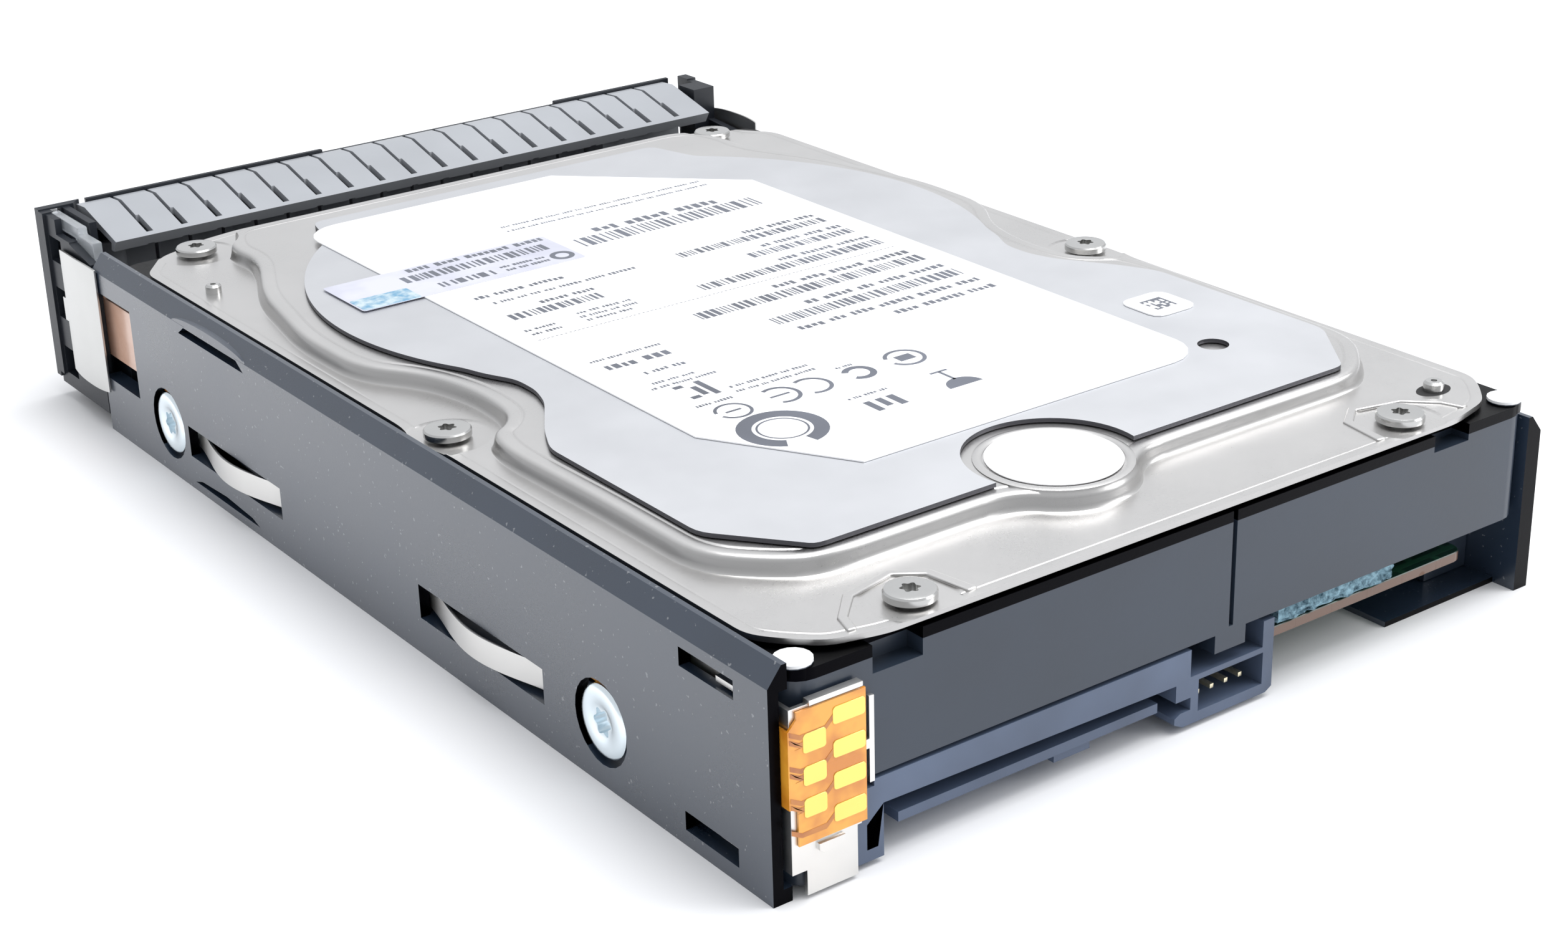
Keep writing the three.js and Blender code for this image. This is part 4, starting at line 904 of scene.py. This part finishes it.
def printed(name, marks, level, thick=0.012):
    """Ink boxes on one object."""
    bpy.ops.object.select_all(action="DESELECT")
    bpy.ops.mesh.primitive_plane_add(size=1)
    piece = bpy.context.object
    piece.name = name
    with shaping(piece):
        bpy.ops.mesh.select_all(action="SELECT")
        bpy.ops.mesh.delete(type="VERT")
        mesh = bmesh.from_edit_mesh(piece.data)
        for x0, x1, y0, y1 in marks:
            corners = [(x0, y0), (x1, y0), (x1, y1), (x0, y1)]
            mesh.faces.new([mesh.verts.new(at(x, y, level)) for x, y in corners])
        bmesh.update_edit_mesh(piece.data)
        bpy.ops.mesh.select_all(action="SELECT")
        bpy.ops.mesh.extrude_region_move(TRANSFORM_OT_translate={"value": (0, 0, thick * MM)})
        bpy.ops.mesh.select_all(action="SELECT")
        bpy.ops.mesh.normals_make_consistent(inside=False)
    return piece


def ring_mark(name, x, y, outer, inner, start=0, end=360, level=None):
    """A printed ring or part of one."""
    level = LABEL_TOP if level is None else level
    steps = max(8, int((end - start) / 9))
    outline = arc((x, y), outer, start, end, steps) + arc((x, y), inner, end, start, steps)
    return slab(name, outline, level, level + 0.012)


def label_icons():
    """Plain rings, wedges and a cup in place of the marks of approval."""
    icons = [
        ring_mark("icon", *ring) for ring in (
            (22.1, -39.4, 5.0, 3.3, 100, 420), (22.1, -39.4, 2.9, 2.65),
            (-0.9, -47.4, 2.5, 2.0, 20, 340), (5.9, -47.0, 2.0, 1.2, 40, 330),
            (12.3, -47.2, 2.4, 1.9, 60, 300), (16.6, -47.2, 2.4, 1.9, 60, 300),
            (23.2, -46.8, 2.2, 1.8, 20, 350), (-0.9, -36.6, 2.3, 0.0, 180, 360),
        )
    ]
    icons.append(printed("icon", [(-1.1, -0.7, -41.4, -38.6), (-2.1, 0.3, -41.7, -41.3),
                                  (15.4, 18, -47.4, -47.0), (22.2, 24.2, -47.0, -46.6),
                                  (-2, 0.2, -48.2, -46.6), (7.2, 8.2, -39.6, -36.6),
                                  (8.8, 9.7, -39.6, -37.2), (10.4, 11.3, -39.6, -36.6),
                                  (21, 21.8, -56.6, -52), (22.2, 23, -55.4, -52.6),
                                  (23.4, 24.6, -56.6, -55.8), (23.4, 24.6, -53, -52.2)], LABEL_TOP))
    return icons


def label_print():
    ink = printed("label_print", label_marks(), LABEL_TOP)
    gathered = gather("label_print", ink, *label_icons())
    dress(gathered, "white_label", finish=INK)


def data_mark():
    """A square matrix of dots on the small sticker, at random."""
    low, high = extent("data_sticker")
    cell = 0.36
    side = 9
    x0 = (low.x + high.x - side * cell) / 2
    y0 = (low.y + high.y - side * cell) / 2
    cells = [
        (x0 + i * cell, x0 + (i + 0.92) * cell, y0 + j * cell, y0 + (j + 0.92) * cell)
        for i in range(side) for j in range(side) if random.random() < 0.55 or i == 0 or j == 0
    ]
    dress(printed("data_sticker_print", cells, high.z), "white_label", finish=INK)


def tamper_strip():
    """A film strip across the label's edge, with a bright patch at its free end."""
    x0, x1, y0, y1 = 7.3, 38.8, -111.8, -101.0
    film_z = LABEL_TOP + 0.02
    strip = slab("tamper_strip", rounded_box(x0, x1, y0, y1, 0.4, 2), film_z, film_z + 0.05)
    dress(strip, "white_label", finish=TAMPER_FILM)
    patch = slab("tamper_patch", rounded_box(30.8, x1 - 0.2, -105.2, y1 - 0.1, 0.3, 2),
                 film_z + 0.055, film_z + 0.075)
    dress(patch, "white_label", finish=HOLOGRAM)
    level = film_z + 0.055
    marks = ink_bars(9.2, 30.2, -108.9, 2.3, 0.24) + ink_words(8, 28.4, -111.3, 1.3)
    marks += ink_words(11.6, 18, -103.2, 0.7) + ink_words(11.6, 18, -104.6, 0.7)
    marks += ink_bars(19.4, 27.4, -104.2, 1.7, 0.35)
    dots = printed("tamper_print", marks, level)
    dress(gather("tamper_print", dots, ring_mark("seal", 9.4, -103.4, 1.6, 0.9, level=level)),
          "white_label", finish=INK)


# ---------------------------------------------------------------- rails and what they carry

def spans(side, inner, outer):
    return (inner, outer) if side > 0 else (-outer, -inner)


def rails():
    """Both rails: the frame's shape with eased edges, and a lip that arches over each slot."""
    for side, node in ((1, "right_rail"), (-1, "left_rail")):
        piece = finished(node, 0)
        top = extent(node)[1].z
        middle, half = FRONT + 32, 10.4
        swell = [(middle + half * math.cos(a), top - 2.1 + 1.15 * math.sin(a))
                 for a in (math.pi * i / 15 for i in range(16))]
        lip = side_slab("lip", [(middle + half, top - 2.2), *swell, (middle - half, top - 2.2)],
                        *spans(side, RAIL_OUT - 0.9, RAIL_OUT - 0.02))
        piece = carve(piece, lip, operation="UNION")
        soften(piece, 0.12, 2)
        dress(piece, "rail_paint", nodes=[node])


def bowed_strip(name, route, low, high, thick, slim=0.0):
    """A strip on edge that follows a route in plan, slimmer towards its ends by slim mm."""
    steps = len(route) - 1
    bpy.ops.object.select_all(action="DESELECT")
    bpy.ops.mesh.primitive_grid_add(x_subdivisions=steps, y_subdivisions=2, size=1)
    piece = bpy.context.object
    piece.name = name
    for vertex in piece.data.vertices:
        index = round((vertex.co.x + 0.5) * steps)
        across = vertex.co.y
        x, y = route[index]
        trim = slim * abs(2 * index / steps - 1) ** 3
        middle = (low + high) / 2
        vertex.co = at(x, y, middle + across * (high - low - trim))
    apply(piece, "SOLIDIFY", thickness=thick * MM, offset=0.0)
    with shaping(piece):
        bpy.ops.mesh.select_all(action="SELECT")
        bpy.ops.mesh.normals_make_consistent(inside=False)
    soften(piece, 0.06, 2)
    return piece


def side_springs():
    for number in range(1, 5):
        node = f"side_spring_{number}"
        low, high = extent(node)
        side = 1 if high.x > 0 else -1
        foot = min(abs(low.x), abs(high.x)) + 0.2
        crest = max(abs(low.x), abs(high.x)) - 0.2
        route = []
        for step in range(33):
            t = step / 32
            lift = math.sin(math.pi * t) ** 2
            route.append((side * (foot + (crest - foot) * lift), low.y + (high.y - low.y) * t))
        strip = bowed_strip(f"{node}_bowed", route, low.z, high.z, 0.35, 0.5)
        dress(strip, "spring_steel", nodes=[node])


def carrier_screws():
    head_t = 1.15
    profile = [(0, -7.4), (1.6, -7.4), (1.7, -7.2), (1.7, 0), (3.75, 0), (4.0, 0.25), (4.0, 0.8),
               (3.7, 1.05), (3.2, head_t), (2.0, head_t), (1.75, 1.0), (0, 1.0)]
    screw = carve(turned("screw", profile, 56), star_socket(1.6, 0.8, 1.0))
    for number in range(1, 5):
        node = f"carrier_screw_{number}"
        low, high = extent(node)
        middle = (low + high) / 2
        side = 1 if middle.x > 0 else -1
        face = (high.x if side > 0 else low.x) - side * head_t
        copy = place(twin(screw, f"{node}_turned"), 11 * number, 90 * side,
                     (face, middle.y, middle.z))
        dress(copy, "zinc", nodes=[node], finish=BLUE_ZINC)
    bpy.data.objects.remove(screw)


def ground_clips():
    """Broad bowed contact strips on the cheeks, hooked into a window at the front."""
    for side, node in ((1, "ground_clip_right"), (-1, "ground_clip_left")):
        low, high = extent(node)
        face = RAIL_OUT + 0.3
        crest = (high.x if side > 0 else -low.x) - 0.3
        start, end = low.y + 0.9, high.y
        route = []
        for step in range(25):
            t = step / 24
            route.append((side * (face + (crest - face) * math.sin(math.pi * t) ** 0.8),
                          start + (end - start) * t))
        strip = bowed_strip(f"{node}_bowed", route, low.z, high.z, 0.3, 0.6)
        window = (12, 15.3)
        hook = block("hook", *spans(side, RAIL_OUT - 0.85, RAIL_OUT + 0.42), low.y, low.y + 0.4,
                     *window)
        tie = block("tie", *spans(side, RAIL_OUT + 0.15, RAIL_OUT + 0.45), low.y, start + 0.1,
                    *window)
        clip = carve(strip, carve(hook, tie, operation="UNION"), operation="UNION")
        dress(clip, "spring_steel", nodes=[node], finish=CLIP_STEEL)


# ---------------------------------------------------------------- rear contacts

PAD_ROWS = {
    "inner": (43.1, 46.8, 1.8, (17.5, 14.05, 10.75, 7.4)),
    "outer": (47.6, 50.2, 2.0, (15.8, 12.45, 9.15)),
}


def rear_slab(name, points, start, end):
    """An outline seen from the rear (x, z), from start to end along y."""
    return prism(name, [at(x, start, z) for x, z in points], (0, end - start, 0))


def signal_flex():
    back = extent("signal_flex")[1].y
    face_y = back - 0.06
    sheet = finished("signal_flex", 0)
    flat = block("flat", 42.6, 50.6, face_y, face_y + 1, 4, 20)
    sheet = carve(sheet, flat)
    dress(sheet, "polyimide", nodes=["signal_flex"])
    pads = []
    for x0, x1, height, rows in PAD_ROWS.values():
        for z in rows:
            pad = rear_slab("pad", [(x, z + dz) for x, dz in rounded_box(
                x0, x1, -height / 2, height / 2, 0.35, 4)], face_y + 0.005, back + 0.02)
            pads.append(soften(pad, 0.03, 1))
    dress(gather("contact_pads", *pads), "gold")
    traces = []
    edge = 51.7
    for x0, x1, height, rows in PAD_ROWS.values():
        for z in rows:
            lean = 0.9 if x1 < 47 else 0.0
            points = [(x1 - 0.1, z + 0.3), (x1 + 0.9, z - lean + 0.3), (edge - 1.2, z - lean + 0.25),
                      (edge, z - lean + 0.9), (edge, z - lean + 0.4), (edge - 1.2, z - lean - 0.25),
                      (x1 + 0.9, z - lean - 0.3), (x1 - 0.1, z - 0.3)]
            traces.append(rear_slab("trace", points, face_y + 0.003, face_y + 0.03))
    dress(gather("flex_traces", *traces), "polyimide", finish=TRACE)


def contact_bracket():
    piece = finished("contact_bracket", 0)
    back = extent("contact_bracket")[1].y
    tongue = [(45.6, 4.9), (48.6, 4.9), (48.6, 4.2), (48.1, 3.8), (46.3, 3.8), (45.6, 4.2)]
    piece = carve(piece, rear_slab("nib", tongue, back - 0.7, back - 0.05), operation="UNION")
    soften(piece, 0.1, 2)
    dress(piece, "spring_steel", nodes=["contact_bracket"])


def drive_connector():
    piece = finished("drive_connector", 0.12)
    dress(piece, "connector_plastic", nodes=["drive_connector"])


def foam_pad():
    """Torn-edged open foam between the board and the casting."""
    low, high = extent("foam_pad")
    bpy.ops.object.select_all(action="DESELECT")
    bpy.ops.mesh.primitive_cube_add(size=1)
    pad = bpy.context.object
    pad.name = "foam_pad_torn"
    for vertex in pad.data.vertices:
        share = vertex.co + Vector((0.5, 0.5, 0.5))
        vertex.co = at(*(low[i] + 0.15 + (high[i] - low[i] - 0.3) * share[i] for i in range(3)))
    with shaping(pad):
        bpy.ops.mesh.select_all(action="SELECT")
        bpy.ops.mesh.subdivide(number_cuts=24)
    rough = bpy.data.textures.new("crumbs", "CLOUDS")
    rough.noise_scale = 0.0009
    apply(pad, "DISPLACE", texture=rough, strength=1.1 * MM, mid_level=0.8)
    dress(pad, "foam", nodes=["foam_pad"], smooth=80)


def circuit_board():
    """The board, with the parts that show from below."""
    board = finished("circuit_board", 0.08, 1)
    dress(board, "board_green", nodes=["circuit_board"])
    under = extent("circuit_board")[0].z
    chips = []
    for x, y, width, length, height in (
        (-22, -60, 14, 14, 1.2), (20, -36, 10, 18, 1.0), (24, -78, 9, 9, 0.9), (-26, -24, 8, 6, 0.8),
        (4, -52, 6, 8, 0.9), (-34, -88, 7, 5, 1.0),
    ):
        chip = block("chip", x - width / 2, x + width / 2, y - length / 2, y + length / 2,
                     under - height, under - 0.05)
        chips.append(soften(chip, 0.15, 2))
    dress(gather("board_chips", *chips), "black_plastic")
    small = []
    for i in range(34):
        x = random.uniform(-38, 38)
        y = random.uniform(-106, -14)
        if math.dist((x, y), SPINDLE) < 18:
            continue
        long = random.choice((1.0, 1.6, 2.0))
        part = block("part", x, x + long, y, y + 0.8, under - 0.55, under - 0.04)
        small.append(part)
    dress(gather("board_parts", *small), "copper")


# ---------------------------------------------------------------- bezel, lever and button

def carrier_front():
    dress(finished("bezel_frame", 0.14), "black_plastic", nodes=["bezel_frame"])
    dress(finished("light_pipe", 0.15), "clear_plastic", nodes=["light_pipe"])
    dress(finished("ejector_lever", 0.16), "rib_grey", "lever", nodes=["ejector_lever"])
    plate = finished("lever_faceplate", 0.1, flatten=False)
    dress(plate, "black_plastic", "lever", nodes=["lever_faceplate"])
    button = finished("release_button", 0.3, 3)
    dress(button, "connector_plastic", "button", nodes=["release_button"])
    dress(finished("base_casting", 0.12), "black_casting", nodes=["base_casting"])


top_cover()
rear_lugs()
damper_plate()
round_seal()
dowels()
cover_screws()
label_print()
data_mark()
tamper_strip()
rails()
side_springs()
carrier_screws()
ground_clips()
signal_flex()
contact_bracket()
drive_connector()
foam_pad()
circuit_board()
carrier_front()

# What stays as the frame made it takes its finish from the slot it is listed under.
CARRIED_OVER = {
    "gasket_rubber": ["cover_gasket"],
    "white_label": ["drive_label", "data_sticker"],
    "copper": ["spindle_stator", "voice_coil"],
    "aluminium": ["spindle_hub", "platter_spacer_1", "platter_spacer_2", "actuator_arm"],
    "disc_mirror": ["platter_1", "platter_2", "platter_3"],
    "spring_steel": ["disc_clamp", "lower_magnet_plate", "upper_magnet_plate", "lever_pin",
                     "button_spring"],
    "magnet_nickel": ["lower_magnet", "upper_magnet"],
    "zinc": ["pivot_post"],
    "ramp_plastic": ["load_ramp"],
    "black_plastic": ["actuator_latch"],
    "filter_white": ["recirculation_filter", "breather_filter"],
    "polyimide": ["head_ribbon"],
}
for slot_name, node_names in CARRIED_OVER.items():
    for node_name in node_names:
        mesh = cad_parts[node_name].data
        mesh.materials.clear()
        mesh.materials.append(FINISHES[slot_name].material)


# ---------------------------------------------------------------- floor, light and camera

def studio():
    bpy.ops.object.select_all(action="DESELECT")
    bpy.ops.mesh.primitive_plane_add(size=6)
    floor = bpy.context.object
    floor.name = "floor"
    white = Finish("floor_white", {"Roughness": 0.6})
    soft = white.noise(60.0, 2.0)
    white.feed("Base Color", white.blend(soft, rgb(0.9, 0.905, 0.92), rgb(0.93, 0.935, 0.95)))
    floor.data.materials.append(white.material)

    world = bpy.data.worlds.new("studio")
    bpy.context.scene.world = world
    world.use_nodes = True
    sky = world.node_tree.nodes["Background"]
    sky.inputs["Color"].default_value = rgb(0.96, 0.975, 1.0)
    sky.inputs["Strength"].default_value = 0.75

    for name, spot, aim, size, power in (
        ("overhead", (-0.2, 0.1, 0.9), (0, 0, 0), 0.9, 9.0),
        ("rear_left", (-0.7, 0.6, 0.5), (0, 0, 0.01), 0.5, 3.0),
    ):
        lamp = bpy.data.lights.new(name, "AREA")
        lamp.shape = "DISK"
        lamp.size = size
        lamp.energy = power
        holder = bpy.data.objects.new(name, lamp)
        bpy.context.scene.collection.objects.link(holder)
        holder.location = spot
        holder.rotation_euler = (Vector(aim) - Vector(spot)).to_track_quat("-Z", "Y").to_euler()


def camera():
    lens = bpy.data.cameras.new("camera")
    lens.lens = 59.36
    lens.sensor_width = 36.0
    lens.shift_x = -0.0042
    lens.shift_y = -0.0074
    lens.clip_start = 0.01
    viewer = bpy.data.objects.new("camera", lens)
    bpy.context.scene.collection.objects.link(viewer)
    viewer.location = Vector((169.856, 247.548, 130.492)) * MM
    viewer.rotation_euler = [math.radians(angle) for angle in (67.113, 1.369, 143.316)]
    bpy.context.scene.camera = viewer


studio()
camera()
bpy.context.scene.view_settings.view_transform = "Standard"
